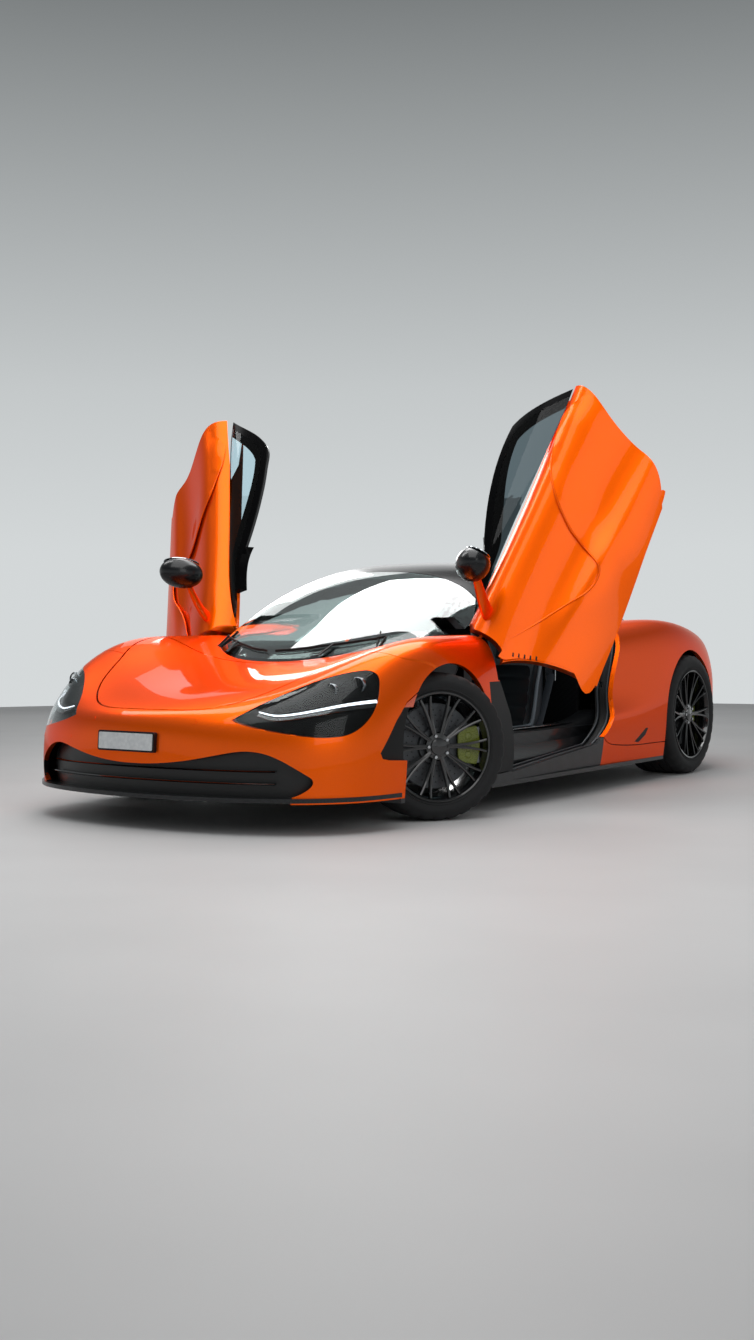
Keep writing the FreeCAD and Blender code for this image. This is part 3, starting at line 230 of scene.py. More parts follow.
# Sculpted skins, from the same poles as the CAD, for true reflections. Each row runs from one side, at the
# level that the skin ends at, to the middle
B = 130
BODY = [
    [(950, -1480, B), (948, -1620, B), (930, -1760, B), (885, -1900, B), (800, -2020, B),
     (670, -2120, B), (470, -2200, B), (240, -2245, B), (0, -2262, B)],
    [(956, -1450, B), (958, -1600, 240), (945, -1740, 270), (905, -1880, 290), (825, -2010, 300),
     (690, -2120, 310), (480, -2210, 320), (245, -2260, 325), (0, -2282, 330)],
    [(960, -1430, B), (962, -1580, 260), (952, -1710, 350), (915, -1840, 400), (835, -1970, 430),
     (700, -2085, 445), (485, -2185, 450), (248, -2245, 450), (0, -2275, 450)],
    [(962, -1400, B), (964, -1560, 270), (955, -1660, 400), (925, -1760, 490), (850, -1880, 535),
     (712, -2000, 540), (485, -2110, 508), (250, -2190, 505), (0, -2225, 500)],
    [(964, -1370, B), (966, -1510, 275), (962, -1570, 410), (950, -1640, 535), (893, -1730, 625),
     (758, -1850, 655), (508, -1960, 585), (260, -2040, 560), (0, -2070, 553)],
    [(966, -1340, B), (968, -1440, 280), (968, -1470, 415), (960, -1500, 560), (920, -1560, 695),
     (795, -1680, 748), (530, -1760, 652), (265, -1830, 612), (0, -1850, 602)],
    [(966, -1300, B), (970, -1340, 280), (972, -1350, 420), (966, -1370, 570), (942, -1400, 730),
     (835, -1480, 815), (550, -1520, 712), (270, -1560, 660), (0, -1580, 650)],
    [(966, -1250, B), (970, -1250, 280), (973, -1250, 420), (970, -1250, 570), (955, -1250, 745),
     (858, -1250, 850), (565, -1270, 752), (275, -1290, 705), (0, -1300, 697)],
    [(955, -1000, B), (964, -960, 270), (962, -930, 400), (956, -910, 535), (942, -900, 690),
     (868, -900, 838), (630, -900, 805), (320, -950, 765), (0, -980, 750)],
    [(935, -480, B), (955, -470, 240), (938, -460, 420), (884, -450, 520), (880, -450, 650),
     (850, -450, 822), (620, -450, 815), (300, -450, 815), (0, -450, 815)],
    [(932, 100, B), (955, 100, 230), (962, 100, 380), (888, 100, 480), (882, 100, 640),
     (862, 100, 815), (640, 100, 840), (300, 100, 840), (0, 100, 840)],
    [(936, 600, B), (958, 600, 240), (964, 600, 370), (930, 600, 500), (925, 600, 660),
     (895, 600, 862), (650, 600, 880), (310, 600, 880), (0, 600, 880)],
    [(946, 1050, B), (962, 1050, 250), (970, 1050, 400), (970, 1050, 545), (960, 1050, 710),
     (908, 1020, 925), (640, 1000, 880), (320, 1000, 895), (0, 1000, 900)],
    [(952, 1413, B), (966, 1413, 260), (972, 1413, 420), (974, 1413, 560), (962, 1413, 730),
     (895, 1380, 918), (620, 1400, 880), (310, 1400, 885), (0, 1400, 890)],
    [(950, 1650, B), (955, 1730, 250), (953, 1770, 420), (945, 1780, 565), (915, 1780, 705),
     (835, 1780, 850), (600, 1800, 858), (300, 1800, 865), (0, 1800, 868)],
    [(940, 1700, B), (905, 1840, 245), (888, 1900, 410), (865, 1960, 550), (830, 2000, 680),
     (765, 2040, 800), (560, 2100, 832), (290, 2120, 840), (0, 2125, 840)],
    [(925, 1730, B), (870, 1910, 240), (832, 2010, 400), (800, 2100, 530), (750, 2150, 640),
     (680, 2200, 750), (510, 2245, 795), (270, 2258, 808), (0, 2262, 812)],
    [(910, 1745, B), (855, 1930, 200), (805, 2060, 320), (755, 2150, 420), (690, 2205, 520),
     (600, 2255, 600), (430, 2272, 640), (225, 2278, 655), (0, 2280, 660)],
    [(895, 1760, B), (845, 1920, B), (790, 2040, B), (730, 2120, B), (650, 2170, B),
     (530, 2215, B), (385, 2235, B), (200, 2247, B), (0, 2250, B)],
]
G = 600
CABIN = [
    [(640, -1020, G), (640, -1100, G), (600, -1250, G), (480, -1380, G), (250, -1450, G), (0, -1475, G)],
    [(700, -880, G), (720, -860, 720), (620, -1020, 745), (490, -1180, 740), (250, -1270, 738),
     (0, -1300, 735)],
    [(740, -600, G), (780, -620, 780), (640, -760, 870), (500, -930, 875), (260, -1020, 872),
     (0, -1050, 870)],
    [(760, -300, G), (810, -330, 820), (650, -440, 990), (520, -600, 1040), (270, -700, 1045),
     (0, -730, 1045)],
    [(780, 0, G), (800, 0, 822), (664, -100, 1005), (512, -230, 1138), (280, -330, 1175),
     (0, -360, 1180)],
    [(780, 300, G), (815, 300, 830), (668, 230, 1015), (506, 150, 1165), (280, 100, 1210),
     (0, 90, 1215)],
    [(770, 650, G), (815, 620, 838), (665, 620, 1000), (490, 600, 1130), (270, 600, 1170),
     (0, 600, 1180)],
    [(700, 1000, G), (780, 1000, 850), (610, 1050, 960), (440, 1060, 1040), (240, 1060, 1080),
     (0, 1060, 1090)],
    [(600, 1400, G), (660, 1400, 830), (520, 1450, 890), (380, 1480, 950), (210, 1480, 980),
     (0, 1480, 985)],
    [(520, 1700, G), (560, 1720, 760), (450, 1800, 830), (330, 1840, 860), (180, 1850, 870),
     (0, 1850, 872)],
    [(460, 1850, G), (450, 1950, G), (380, 2030, G), (280, 2070, G), (150, 2090, G), (0, 2100, G)],
]


def creased(rows, low, first, last, tight, loose):
    """Adds one pole after number low in each row, nearer to it in the rows from first to last."""
    out = []
    for i, row in enumerate(rows):
        part = tight if first <= i <= last else loose
        a, b = row[low], row[low + 1]
        extra = tuple(a[k] + (b[k] - a[k]) * part for k in range(3))
        out.append(row[:low + 1] + [extra] + row[low + 1:])
    return out


def cubic(count, steps):
    """Values of the clamped cubic base functions, and of their slopes, at steps points."""
    spans = count - 3
    marks = np.concatenate([[0.0] * 3, np.arange(spans + 1), [float(spans)] * 3])
    at = np.linspace(0, spans, steps)
    at[-1] -= 1e-9
    base = [((at >= marks[i]) & (at < marks[i + 1])).astype(float) for i in range(len(marks) - 1)]
    for degree in (1, 2, 3):
        last = base
        base = []
        for i in range(len(last) - 1):
            total = np.zeros_like(at)
            if marks[i + degree] > marks[i]:
                total += (at - marks[i]) / (marks[i + degree] - marks[i]) * last[i]
            if marks[i + degree + 1] > marks[i + 1]:
                total += (marks[i + degree + 1] - at) / (marks[i + degree + 1] - marks[i + 1]) * last[i + 1]
            base.append(total)
    slope = []
    for i in range(count):
        total = np.zeros_like(at)
        if marks[i + 3] > marks[i]:
            total += 3 / (marks[i + 3] - marks[i]) * last[i]
        if marks[i + 4] > marks[i + 1]:
            total -= 3 / (marks[i + 4] - marks[i + 1]) * last[i + 1]
        slope.append(total)
    return np.array(base[:count]).T, np.array(slope).T


def quads(rows, columns, rings=False, turns=False):
    """Faces between rows of points. Rings close each row on itself, turns the last row on the first."""
    faces = []
    for k in range(rows if turns else rows - 1):
        a, b = k * columns, (k + 1) % rows * columns
        for s in range(columns if rings else columns - 1):
            t = (s + 1) % columns
            faces.append((a + s, a + t, b + t, b + s))
    return faces


# Where a ray to the point (a, b) of a view starts, in millimetres, and its way
VIEWS = {
    "side": (lambda a, b: (1300, a, b), Vector((-1, 0, 0))),
    "front": (lambda a, b: (a, -2600, b), Vector((0, 1, 0))),
    "back": (lambda a, b: (a, 2600, b), Vector((0, -1, 0))),
    "top": (lambda a, b: (a, b, 1500), Vector((0, 0, -1))),
}


class Skin:
    """A smooth surface over a net of poles that a point can be laid on."""

    def __init__(self, rows, long_steps, wide_steps):
        half = np.array(rows, float)
        other = half[:, -2::-1].copy()
        other[:, :, 0] *= -1
        net = np.concatenate([half, other], axis=1) * MM
        u, du = cubic(net.shape[0], long_steps)
        v, dv = cubic(net.shape[1], wide_steps)
        spots, along, across = (np.einsum("ai,bj,ijk->abk", p, q, net) for p, q in ((u, v), (du, v), (u, dv)))
        normals = np.cross(along, across)
        normals = normals / np.maximum(np.linalg.norm(normals, axis=2, keepdims=True), 1e-12)
        if normals[long_steps // 2, wide_steps // 2, 2] < 0:
            normals = -normals
        self.spots = spots.reshape(-1, 3)
        self.normals = normals.reshape(-1, 3)
        self.faces = [tri for a, b, c, d in quads(long_steps, wide_steps) for tri in ((a, b, c), (a, c, d))]
        self.tree = BVHTree.FromPolygons([tuple(p) for p in self.spots], self.faces)

    def _normal(self, spot, index):
        a, b, c = (Vector(self.spots[k]) for k in self.faces[index])
        n = (b - a).cross(c - a)
        area = n.length_squared
        if area < 1e-18:
            return Vector(self.normals[self.faces[index][0]])
        wa = (b - spot).cross(c - spot).dot(n) / area
        wb = (c - spot).cross(a - spot).dot(n) / area
        wc = 1 - wa - wb
        na, nb, nc = (self.normals[k] for k in self.faces[index])
        return Vector(na * wa + nb * wb + nc * wc).normalized()

    def nearest(self, spot):
        """The nearest point of the skin in metres, its normal and how far it is."""
        where, _, index, away = self.tree.find_nearest(spot)
        return where, self._normal(where, index), away

    def hit(self, view, a, b, lift=0.0):
        """The point (a, b) of a view, lifted off the skin, in millimetres, and the normal there."""
        start, way = VIEWS[view]
        start = Vector(start(a, b)) * MM
        where, _, index, _ = self.tree.ray_cast(start, way)
        if where is None:
            where, _, index, _ = self.tree.find_nearest(start + way * 0.2)
        normal = self._normal(where, index)
        return where / MM + normal * lift, normal


FINE = 2
BODY_SKIN = Skin(creased(BODY, 2, 9, 11, 0.16, 0.5), 96 * FINE + 1, 80 * FINE + 1)
CABIN_SKIN = Skin(CABIN, 64 * FINE + 1, 48 * FINE + 1)

# Where the doors and the steered wheels stand at rest
HINGE = Vector((666, -694, 837)) * MM
HINGE_AXIS = Vector((0.705, -0.452, -0.547)).normalized()
DOOR_ANGLE = math.radians(78)
STEER = math.radians(33)
FLIP = Matrix.Diagonal((-1, 1, 1, 1))
REST = Matrix.Identity(4)
DOOR_LEFT = (Matrix.Translation(HINGE) @ Matrix.Rotation(DOOR_ANGLE, 4, HINGE_AXIS)
             @ Matrix.Translation(-HINGE))
DOOR_RIGHT = FLIP @ DOOR_LEFT @ FLIP
# The place of a left-hand form on each side of the hull, and on each open door with its body
HULL = {"left": REST, "right": FLIP}
DOORS = {"left": (DOOR_LEFT, "door_left_body"), "right": (DOOR_RIGHT @ FLIP, "door_right_body")}
LENGTH, FRONT_OVERHANG, WHEELBASE = 4543, 1015, 2670
FRONT_Y = -LENGTH / 2 + FRONT_OVERHANG
REAR_Y = FRONT_Y + WHEELBASE


# Meshes

def linked(name, data):
    obj = bpy.data.objects.new(name, data)
    bpy.context.scene.collection.objects.link(obj)
    return obj


def piece(name, form, finish, place=REST, body="chassis", smooth=25.0, slot=None):
    """A mesh piece from points in millimetres, moved to its place, riding on its body."""
    verts, faces = form
    data = bpy.data.meshes.new(name)
    data.from_pydata([place @ (Vector(v) * MM) for v in verts], [],
                     [tuple(reversed(f)) for f in faces] if place.determinant() < 0 else faces)
    data.validate()
    obj = linked(name, data)
    data.materials.append(finish)
    data.update()
    bm = bmesh.new()
    bm.from_mesh(data)
    bmesh.ops.recalc_face_normals(bm, faces=bm.faces)
    for f in bm.faces:
        f.smooth = smooth > 0
    bm.to_mesh(data)
    bm.free()
    if smooth > 0:
        data.set_sharp_from_angle(angle=math.radians(smooth))
    slot = slot or SLOT_OF[finish.name]
    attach(obj, body)
    return obj


def rounded(obj, width_mm):
    """Rounds the sharp edges, as a mould or a cutter leaves them."""
    mod = obj.modifiers.new("edge", "BEVEL")
    mod.width = width_mm * MM
    mod.segments = 2
    mod.limit_method = "ANGLE"
    mod.angle_limit = math.radians(30)
    mod.harden_normals = True


def walled(obj, thick_mm):
    """Gives an open sheet its thickness."""
    obj.modifiers.new("wall", "SOLIDIFY").thickness = thick_mm * MM


def polar(radius, angle):
    return radius * math.cos(angle), radius * math.sin(angle)


def lathe(profile, steps, axis="x"):
    """Turns a profile of (along, radius) about an axis."""
    verts = []
    for k in range(steps):
        for t, r in profile:
            c, s = polar(r, 2 * math.pi * k / steps)
            verts.append({"x": (t, c, s), "y": (c, t, s), "z": (c, s, t)}[axis])
    return verts, quads(steps, len(profile), turns=True)


def curve_through(points, count):
    """Evenly spread points on a smooth line through the given ones."""
    pts = [Vector(p) for p in points]
    line = []
    for i in range(len(pts) - 1):
        a, b = pts[max(i - 1, 0)], pts[i]
        c, d = pts[i + 1], pts[min(i + 2, len(pts) - 1)]
        for k in range(12):
            t = k / 12
            line.append(0.5 * ((2 * b) + (c - a) * t + (2 * a - 5 * b + 4 * c - d) * t * t
                               + (3 * b - a - 3 * c + d) * t ** 3))
    line.append(pts[-1])
    runs = [0.0]
    for p, q in zip(line, line[1:]):
        runs.append(runs[-1] + (q - p).length)
    out = []
    j = 0
    for k in range(count):
        want = runs[-1] * k / (count - 1)
        while j < len(runs) - 2 and runs[j + 1] < want:
            j += 1
        part = (want - runs[j]) / max(runs[j + 1] - runs[j], 1e-9)
        out.append(line[j].lerp(line[j + 1], min(max(part, 0.0), 1.0)))
    return out


def flat_curve(points, count):
    return [(p.x, p.y) for p in curve_through([(a, b, 0) for a, b in points], count)]


def sweep(line, wide, tall, up, sides=10, square=2.0):
    """A bar of rounded section along a line. Width, height and up may be one for all or one per point."""
    line = [Vector(p) for p in line]
    verts = []
    for k, p in enumerate(line):
        way = (line[min(k + 1, len(line) - 1)] - line[max(k - 1, 0)]).normalized()
        top = Vector(up[k]) if isinstance(up, list) else Vector(up)
        side = way.cross(top).normalized()
        top = side.cross(way).normalized()
        w = wide[k] if isinstance(wide, list) else wide
        h = tall[k] if isinstance(tall, list) else tall
        for s in range(sides):
            c, n = polar(1, 2 * math.pi * s / sides)
            x = math.copysign(abs(c) ** (2 / square), c) * w / 2
            y = math.copysign(abs(n) ** (2 / square), n) * h / 2
            verts.append(p + side * x + top * y)
    ends = [tuple(range(sides)), tuple(reversed(range(len(verts) - sides, len(verts))))]
    return verts, quads(len(line), sides, rings=True) + ends


def join(*parts):
    verts, faces = [], []
    for v, f in parts:
        n = len(verts)
        verts += list(v)
        faces += [tuple(i + n for i in face) for face in f]
    return verts, faces


def moved(part, by=(0, 0, 0), turn=None):
    shift = Vector(by)
    verts = [(turn @ Vector(v) if turn else Vector(v)) + shift for v in part[0]]
    return verts, part[1]


def block(x0, x1, y0, y1, z0, z1):
    v = [(x, y, z) for x in (x0, x1) for y in (y0, y1) for z in (z0, z1)]
    return v, [(0, 1, 3, 2), (4, 6, 7, 5), (0, 4, 5, 1), (2, 3, 7, 6), (0, 2, 6, 4), (1, 5, 7, 3)]


def slab(outline, axis, low, high):
    """A plate with a flat outline: axis x takes (y, z), axis y takes (x, z), axis z takes (x, y)."""
    def spot(a, b, t):
        return {"x": (t, a, b), "y": (a, t, b), "z": (a, b, t)}[axis]
    n = len(outline)
    verts = [spot(a, b, low) for a, b in outline] + [spot(a, b, high) for a, b in outline]
    faces = [tuple(range(n)), tuple(reversed(range(n, 2 * n)))]
    faces += [(i, (i + 1) % n, n + (i + 1) % n, n + i) for i in range(n)]
    return verts, faces


def inside(spot, ring):
    x, y = spot
    hit = False
    for (ax, ay), (bx, by) in zip(ring, ring[1:] + ring[:1]):
        if (ay > y) != (by > y) and x < (bx - ax) * (y - ay) / (by - ay) + ax:
            hit = not hit
    return hit


def smooth_ring(points, step):
    """A closed outline, rounded through its points, with corners kept where a point is doubled."""
    runs = []
    run = [points[0]]
    for p in points[1:] + [points[0]]:
        run.append(p)
        if len(run) > 1 and run[-1] == run[-2]:
            run.pop()
            runs.append(run)
            run = [p]
    runs.append(run)
    out = []
    for run in runs:
        if len(run) < 2:
            continue
        flat = [(a, b, 0) for a, b in run]
        reach = sum((Vector(q) - Vector(p)).length for p, q in zip(flat, flat[1:]))
        count = max(2, int(reach / step) + 1)
        out += [(p.x, p.y) for p in curve_through(flat, count)][:-1]
    return out


def edge_distance(spot, ring):
    best = 1e9
    px, py = spot
    for (ax, ay), (bx, by) in zip(ring, ring[1:]):
        dx, dy = bx - ax, by - ay
        t = max(0.0, min(1.0, ((px - ax) * dx + (py - ay) * dy) / max(dx * dx + dy * dy, 1e-9)))
        best = min(best, math.hypot(px - ax - dx * t, py - ay - dy * t))
    return best


def box_of(ring):
    return [[least(p[k] for p in ring) for k in (0, 1)] for least in (min, max)]


def patch(name, ring, view, step, lift, thick, finish, place=REST, body="chassis", skin=BODY_SKIN):
    """A sheet laid on a skin inside an outline. lift is in millimetres, or a function of the spot."""
    (low_a, low_b), (high_a, high_b) = box_of(ring)
    spots = [Vector(p) for p in ring]
    n = len(ring)
    rise = step * 0.87
    for r in range(int((high_b - low_b) / rise) + 1):
        for c in range(int((high_a - low_a) / step) + 1):
            p = (low_a + step * (c + 0.5 * (r % 2)), low_b + rise * r)
            if inside(p, ring) and edge_distance(p, ring + [ring[0]]) > step * 0.4:
                spots.append(Vector(p))
    edges = [(i, (i + 1) % n) for i in range(n)]
    flat, _, tris, _, _, _ = delaunay_2d_cdt(spots, edges, [], 1, 1e-6)
    upper, lower = [], []
    for a, b in flat:
        spot, normal = skin.hit(view, a, b)
        high = lift(a, b) if callable(lift) else lift
        upper.append(spot + normal * high)
        lower.append(spot + normal * (high - thick))
    count = len(upper)
    centres = [sum((flat[k] for k in t), Vector((0, 0))) / 3 for t in tris]
    tris = [tuple(t) for t, c in zip(tris, centres) if inside(tuple(c), ring)]
    faces = tris + [tuple(count + k for k in reversed(t)) for t in tris]
    seen = dict.fromkeys((t[i], t[(i + 1) % 3]) for t in tris for i in range(3))
    faces += [(b, a, count + a, count + b) for a, b in seen if (b, a) not in seen]
    piece(name, (upper + lower, faces), finish, place, body, 40.0)


# A CAD panel's face is the skin's own within ON_SKIN, and is cut up to edges of LONGEST. A new point is laid
# on the skin within SNAP. All are in metres
ON_SKIN, LONGEST, SNAP = 0.001, 0.04, 0.008


def laid(node_name, skin, finish, place=REST, body="chassis", lining=PRIMER, second=None, cuts=(),
         beyond=None):
    """A finer copy of a CAD panel whose outer side has the true normals of its skin. Its faces beyond the
    cuts take the second finish."""
    bm = bmesh.new()
    bm.from_mesh(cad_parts[node_name].data)
    bm.transform(place.inverted())
    bmesh.ops.remove_doubles(bm, verts=bm.verts, dist=2e-5)
    for spot, way in cuts:
        bmesh.ops.bisect_plane(bm, geom=bm.verts[:] + bm.edges[:] + bm.faces[:], dist=1e-6,
                               plane_co=Vector(spot) * MM, plane_no=way)
    bmesh.ops.triangulate(bm, faces=[f for f in bm.faces if len(f.verts) > 3])
    bm.normal_update()
    cache = {v: skin.nearest(v.co) for v in bm.verts}
    flag = bm.faces.layers.int.new("outer")
    for f in bm.faces:
        n = sum((cache[v][1] for v in f.verts), Vector()) / len(f.verts)
        f[flag] = int(all(cache[v][2] < ON_SKIN for v in f.verts) and abs(f.normal.dot(n)) > 0.55)
    for _ in range(4):
        long_edges = [e for e in bm.edges if e.calc_length() > LONGEST and any(f[flag] for f in e.link_faces)]
        if not long_edges:
            break
        before = set(bm.verts)
        bmesh.ops.subdivide_edges(bm, edges=long_edges, cuts=1, use_grid_fill=False)
        bmesh.ops.triangulate(bm, faces=[f for f in bm.faces if len(f.verts) > 3])
        for v in bm.verts:
            if v not in before:
                where, normal, away = skin.nearest(v.co)
                if any(f[flag] for f in v.link_faces) and away < SNAP:
                    v.co = where
                    away = 0.0
                cache[v] = (where, normal, away)
    bm.normal_update()
    bm.faces.index_update()
    wanted = {}
    for f in bm.faces:
        f.smooth = True
        f.material_index = 0 if f[flag] or f.normal.dot(cache[f.verts[0]][1]) > -0.4 else 1
        if second and beyond(f.calc_center_median() / MM):
            f.material_index = 2
        if f[flag]:
            found = [cache[v][1] for v in f.verts]
            wanted[f.index] = [n if n.dot(f.normal) > 0 else -n for n in found]
    data = bpy.data.meshes.new(node_name + "_skin")
    bm.to_mesh(data)
    bm.free()
    data.transform(place)
    obj = linked(node_name + "_skin", data)
    for item in (finish, lining, second) if second else (finish, lining):
        data.materials.append(item)
    data.set_sharp_from_angle(angle=math.radians(28))
    normals = [Vector(c.vector) for c in data.corner_normals]
    turn = place.to_3x3()
    for index, vectors in wanted.items():
        start = data.polygons[index].loop_start
        for k, n in enumerate(vectors):
            normals[start + k] = turn @ n
    data.normals_split_custom_set([tuple(n.normalized()) for n in normals])
    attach(obj, body)
    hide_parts(node_name)


# Painted and glazed panels
for word in ("front_bumper", "scuttle", "rear_body", "rear_bumper"):
    laid(word, BODY_SKIN, PAINT)
# The wing's foot behind the arch, from here back and down, is bare black moulding
FOOT_Y, FOOT_TOP = -905, 600
laid("front_wings", BODY_SKIN, PAINT, second=SATIN, beyond=lambda p: p.y > FOOT_Y and p.z < FOOT_TOP,
     cuts=(((0, FOOT_Y, 0), (0, 1, 0)), ((0, 0, FOOT_TOP), (0, 0, 1))))
laid("front_lid", BODY_SKIN, PAINT, body="front_lid_body")
# The sills are bare carbon under the doors and painted from here back
SILL_PAINT_Y = 262
laid("sills", BODY_SKIN, CARBON, second=PAINT, beyond=lambda p: p.y > SILL_PAINT_Y,
     cuts=(((0, SILL_PAINT_Y, 0), (0, 1, 0)),))
laid("side_lamps", BODY_SKIN, AMBER, lining=AMBER)
laid("windscreen", CABIN_SKIN, GLASS, lining=GLASS)
laid("roof_panel", CABIN_SKIN, ROOF_BLACK)
laid("rear_glass", CABIN_SKIN, TINTED, lining=TINTED)
laid("engine_cover", CABIN_SKIN, ROOF_BLACK)
for side, place in (("left", DOOR_LEFT), ("right", DOOR_RIGHT)):
    body = "door_%s_body" % side
    laid("door_" + side, BODY_SKIN, PAINT, place, body, SUEDE)
    laid("door_glass_" + side, CABIN_SKIN, DOOR_GLASS, place, body, DOOR_GLASS)
    laid("door_upper_frame_" + side, CABIN_SKIN, ROOF_BLACK, place, body, SUEDE)

# CAD nodes that keep their own shape
KEPT = {
    "panel_flanges": PRIMER, "door_posts": PRIMER, "vent_liners": SATIN, "cabin_frame": SUEDE,
    "splitter": CARBON, "floor": CARBON, "diffuser": CARBON, "tub": CARBON, "front_beams": CAST,
    "front_boot_tub": CARPET,
    "rear_beams": CAST, "engine_block": IRON, "centre_console": SUEDE, "dashboard": SUEDE,
    "front_upright_left": CAST, "front_upright_right": CAST, "rear_uprights": CAST, "front_arms": CAST,
    "rear_arms": CAST, "headlamps": LAMP_BOWL, "exhaust_pipes": STAINLESS, "tail_lamps": RED_LENS,
    "steering_wheel": LEATHER, "mouth_grille": MESH_BLACK, "tail_grille": MESH_BLACK, "chairs": LEATHER,
    "mirror_left": BLACK_GLOSS, "mirror_right": BLACK_GLOSS,
}
for word in ("front", "rear"):
    for side in ("left", "right"):
        KEPT["%s_tyre_%s" % (word, side)] = RUBBER
        KEPT["%s_rim_%s" % (word, side)] = WHEEL_BLACK
for word, finish in KEPT.items():
    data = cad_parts[word].data
    data.materials.clear()
    data.materials.append(finish)

# Lower blade of each door: a second sheet that stands off the door along its front line
BLADE_LINE = [(-775, 640), (-670, 622), (-583, 565), (-445, 476), (-330, 405), (-244, 385), (-175, 410),
              (-117, 508), (-68, 595), (30, 707), (148, 785), (295, 826), (400, 842)]
BLADE_REST = [(470, 843), (560, 792), (496, 662), (432, 530), (404, 455), (378, 400), (340, 352),
              (272, 301), (198, 259), (-690, 180), (-684, 313), (-700, 432), (-737, 544), (-775, 605)]
blade_ring = smooth_ring(BLADE_LINE + [BLADE_LINE[-1]] + BLADE_REST, 18.0)
blade_front = flat_curve(BLADE_LINE, 60)


# The blade stands off the door by this, and by the lip more along its front line, over the fade
BLADE_GAP, BLADE_LIP, BLADE_FADE = 2.0, 11.0, 110.0


def blade_lift(y, z):
    return BLADE_GAP + BLADE_LIP * math.exp(-(edge_distance((y, z), blade_front) / BLADE_FADE) ** 2)


for side, (place, body) in DOORS.items():
    patch("door_blade_" + side, blade_ring, "side", 22.0, blade_lift, 3.0, PAINT, place, body)


# Wheels: tyre, forged spokes, hub, drilled disc and caliper. Their forms lie about the axle, out along x

def tyre_form(radius, width, rim_radius):
    """Moulded tyre: bead, bulged wall, rounded shoulder with cross grooves, four ring grooves."""
    w = width / 2
    side = [(w - 10, rim_radius - 1), (w - 3, rim_radius + 8), (w - 5, rim_radius + 12), (w, rim_radius + 28),
            (w + 0.5, rim_radius + 40), (w - 2, radius - 34), (w - 3, radius - 32), (w - 8, radius - 16),
            (w - 18, radius - 6), (w - 34, radius - 1)]
    groove = radius - 7
    tread = [(mid * w + t, r) for mid in (0.52, 0.18)
             for t, r in ((6, radius), (4.5, groove), (-4.5, groove), (-6, radius))]
    half = side + tread
    profile = half + [(-t, r) for t, r in reversed(half)]
    steps = 120
    verts, faces = lathe(profile, steps)
    n = len(profile)
    for k in range(0, steps, 4):
        for i in (7, 8, 9, n - 8, n - 9, n - 10):
            x, y, z = verts[k * n + i]
            verts[k * n + i] = (x, y * groove / radius, z * groove / radius)
    return verts, faces


def barrel_form(radius, w):
    return lathe([(w + 2, radius - 2), (w + 4, radius - 6), (w + 2, radius - 12), (w - 8, radius - 15),
                  (w - 30, radius - 22), (-w + 24, radius - 20), (-w + 6, radius - 12), (-w, radius - 8),
                  (-w, radius - 1), (-w + 8, radius - 3), (-w + 20, radius - 10), (w - 26, radius - 12),
                  (w - 8, radius - 3), (w + 2, radius - 2)], 96)


def spokes_form(radius, w, count=10):
    """Pairs of slim blades that spread from the hub to the rim."""
    parts = []
    for k in range(count):
        for lean in (-1, 1):
            line, wide, tall = [], [], []
            for step in range(9):
                t = step / 8
                angle = 2 * math.pi * k / count + math.radians(lean * (2.4 + 4.2 * t * t))
                line.append((w - 34 + 26 * t ** 1.6, *polar(46 + (radius - 62) * t, angle)))
                wide.append(17 - 6 * t)
                tall.append(34 - 14 * t)
            parts.append(sweep(line, wide, tall, (1, 0, 0), sides=8, square=3.0))
    return join(*parts)


def hub_form(w):
    return lathe([(w - 60, 62), (w - 30, 64), (w - 22, 58), (w - 20, 38), (w - 14, 36), (w - 12, 30),
                  (w - 10, 0.5)], 48)


def nuts_form(w):
    nut = lathe([(w - 26, 9), (w - 12, 9), (w - 10, 7), (w - 10, 0.3)], 6)
    return join(*[moved(nut, (0, *polar(49, 2 * math.pi * (k + 0.5) / 5))) for k in range(5)])


def disc_form():
    """Two ground faces with the cooling slot between them, on a hat."""
    return lathe([(30, 84), (30, 188), (32, 190), (37, 190), (39, 184), (43, 184), (45, 190), (50, 190),
                  (52, 188), (52, 84), (66, 80), (66, 40), (62, 40), (60, 76), (30, 84)], 96)


def holes_form():
    pit = lathe([(52.4, 0.2), (52.4, 3.6), (51.5, 3.6)], 8)
    return join(*[moved(pit, (0, *polar(r, 2 * math.pi * (k + j / 3) / 30)))
                  for k in range(30) for j, r in enumerate((112, 136, 160))])


def caliper_form():
    """Six pot caliper: two halves either side of the disc with a bridge over its rim."""
    arc = [math.radians(a) for a in (-24, -16, -8, 0, 8, 16, 24)]
    outer = [polar(215, a) for a in arc]
    half = outer + [(112, 74), (106, 40), (106, -40), (112, -74)]
    bridge = outer + [polar(197, a) for a in reversed(arc)]
    pot = lathe([(73, 17), (77, 16), (78, 0.3)], 20)
    return join(slab(half, "x", 59, 74), slab(half, "x", 3, 23), slab(bridge, "x", 23, 59),
                *[moved(pot, (0, *polar(160, math.radians(a)))) for a in (-15, 0, 15)])


# Half the track, the axle's place, the tyre's radius and width, the rim's radius, and whether it steers
WHEELS = (("front", 837, FRONT_Y, 327, 245, 246, True), ("rear", 814.5, REAR_Y, 345, 305, 259, False))
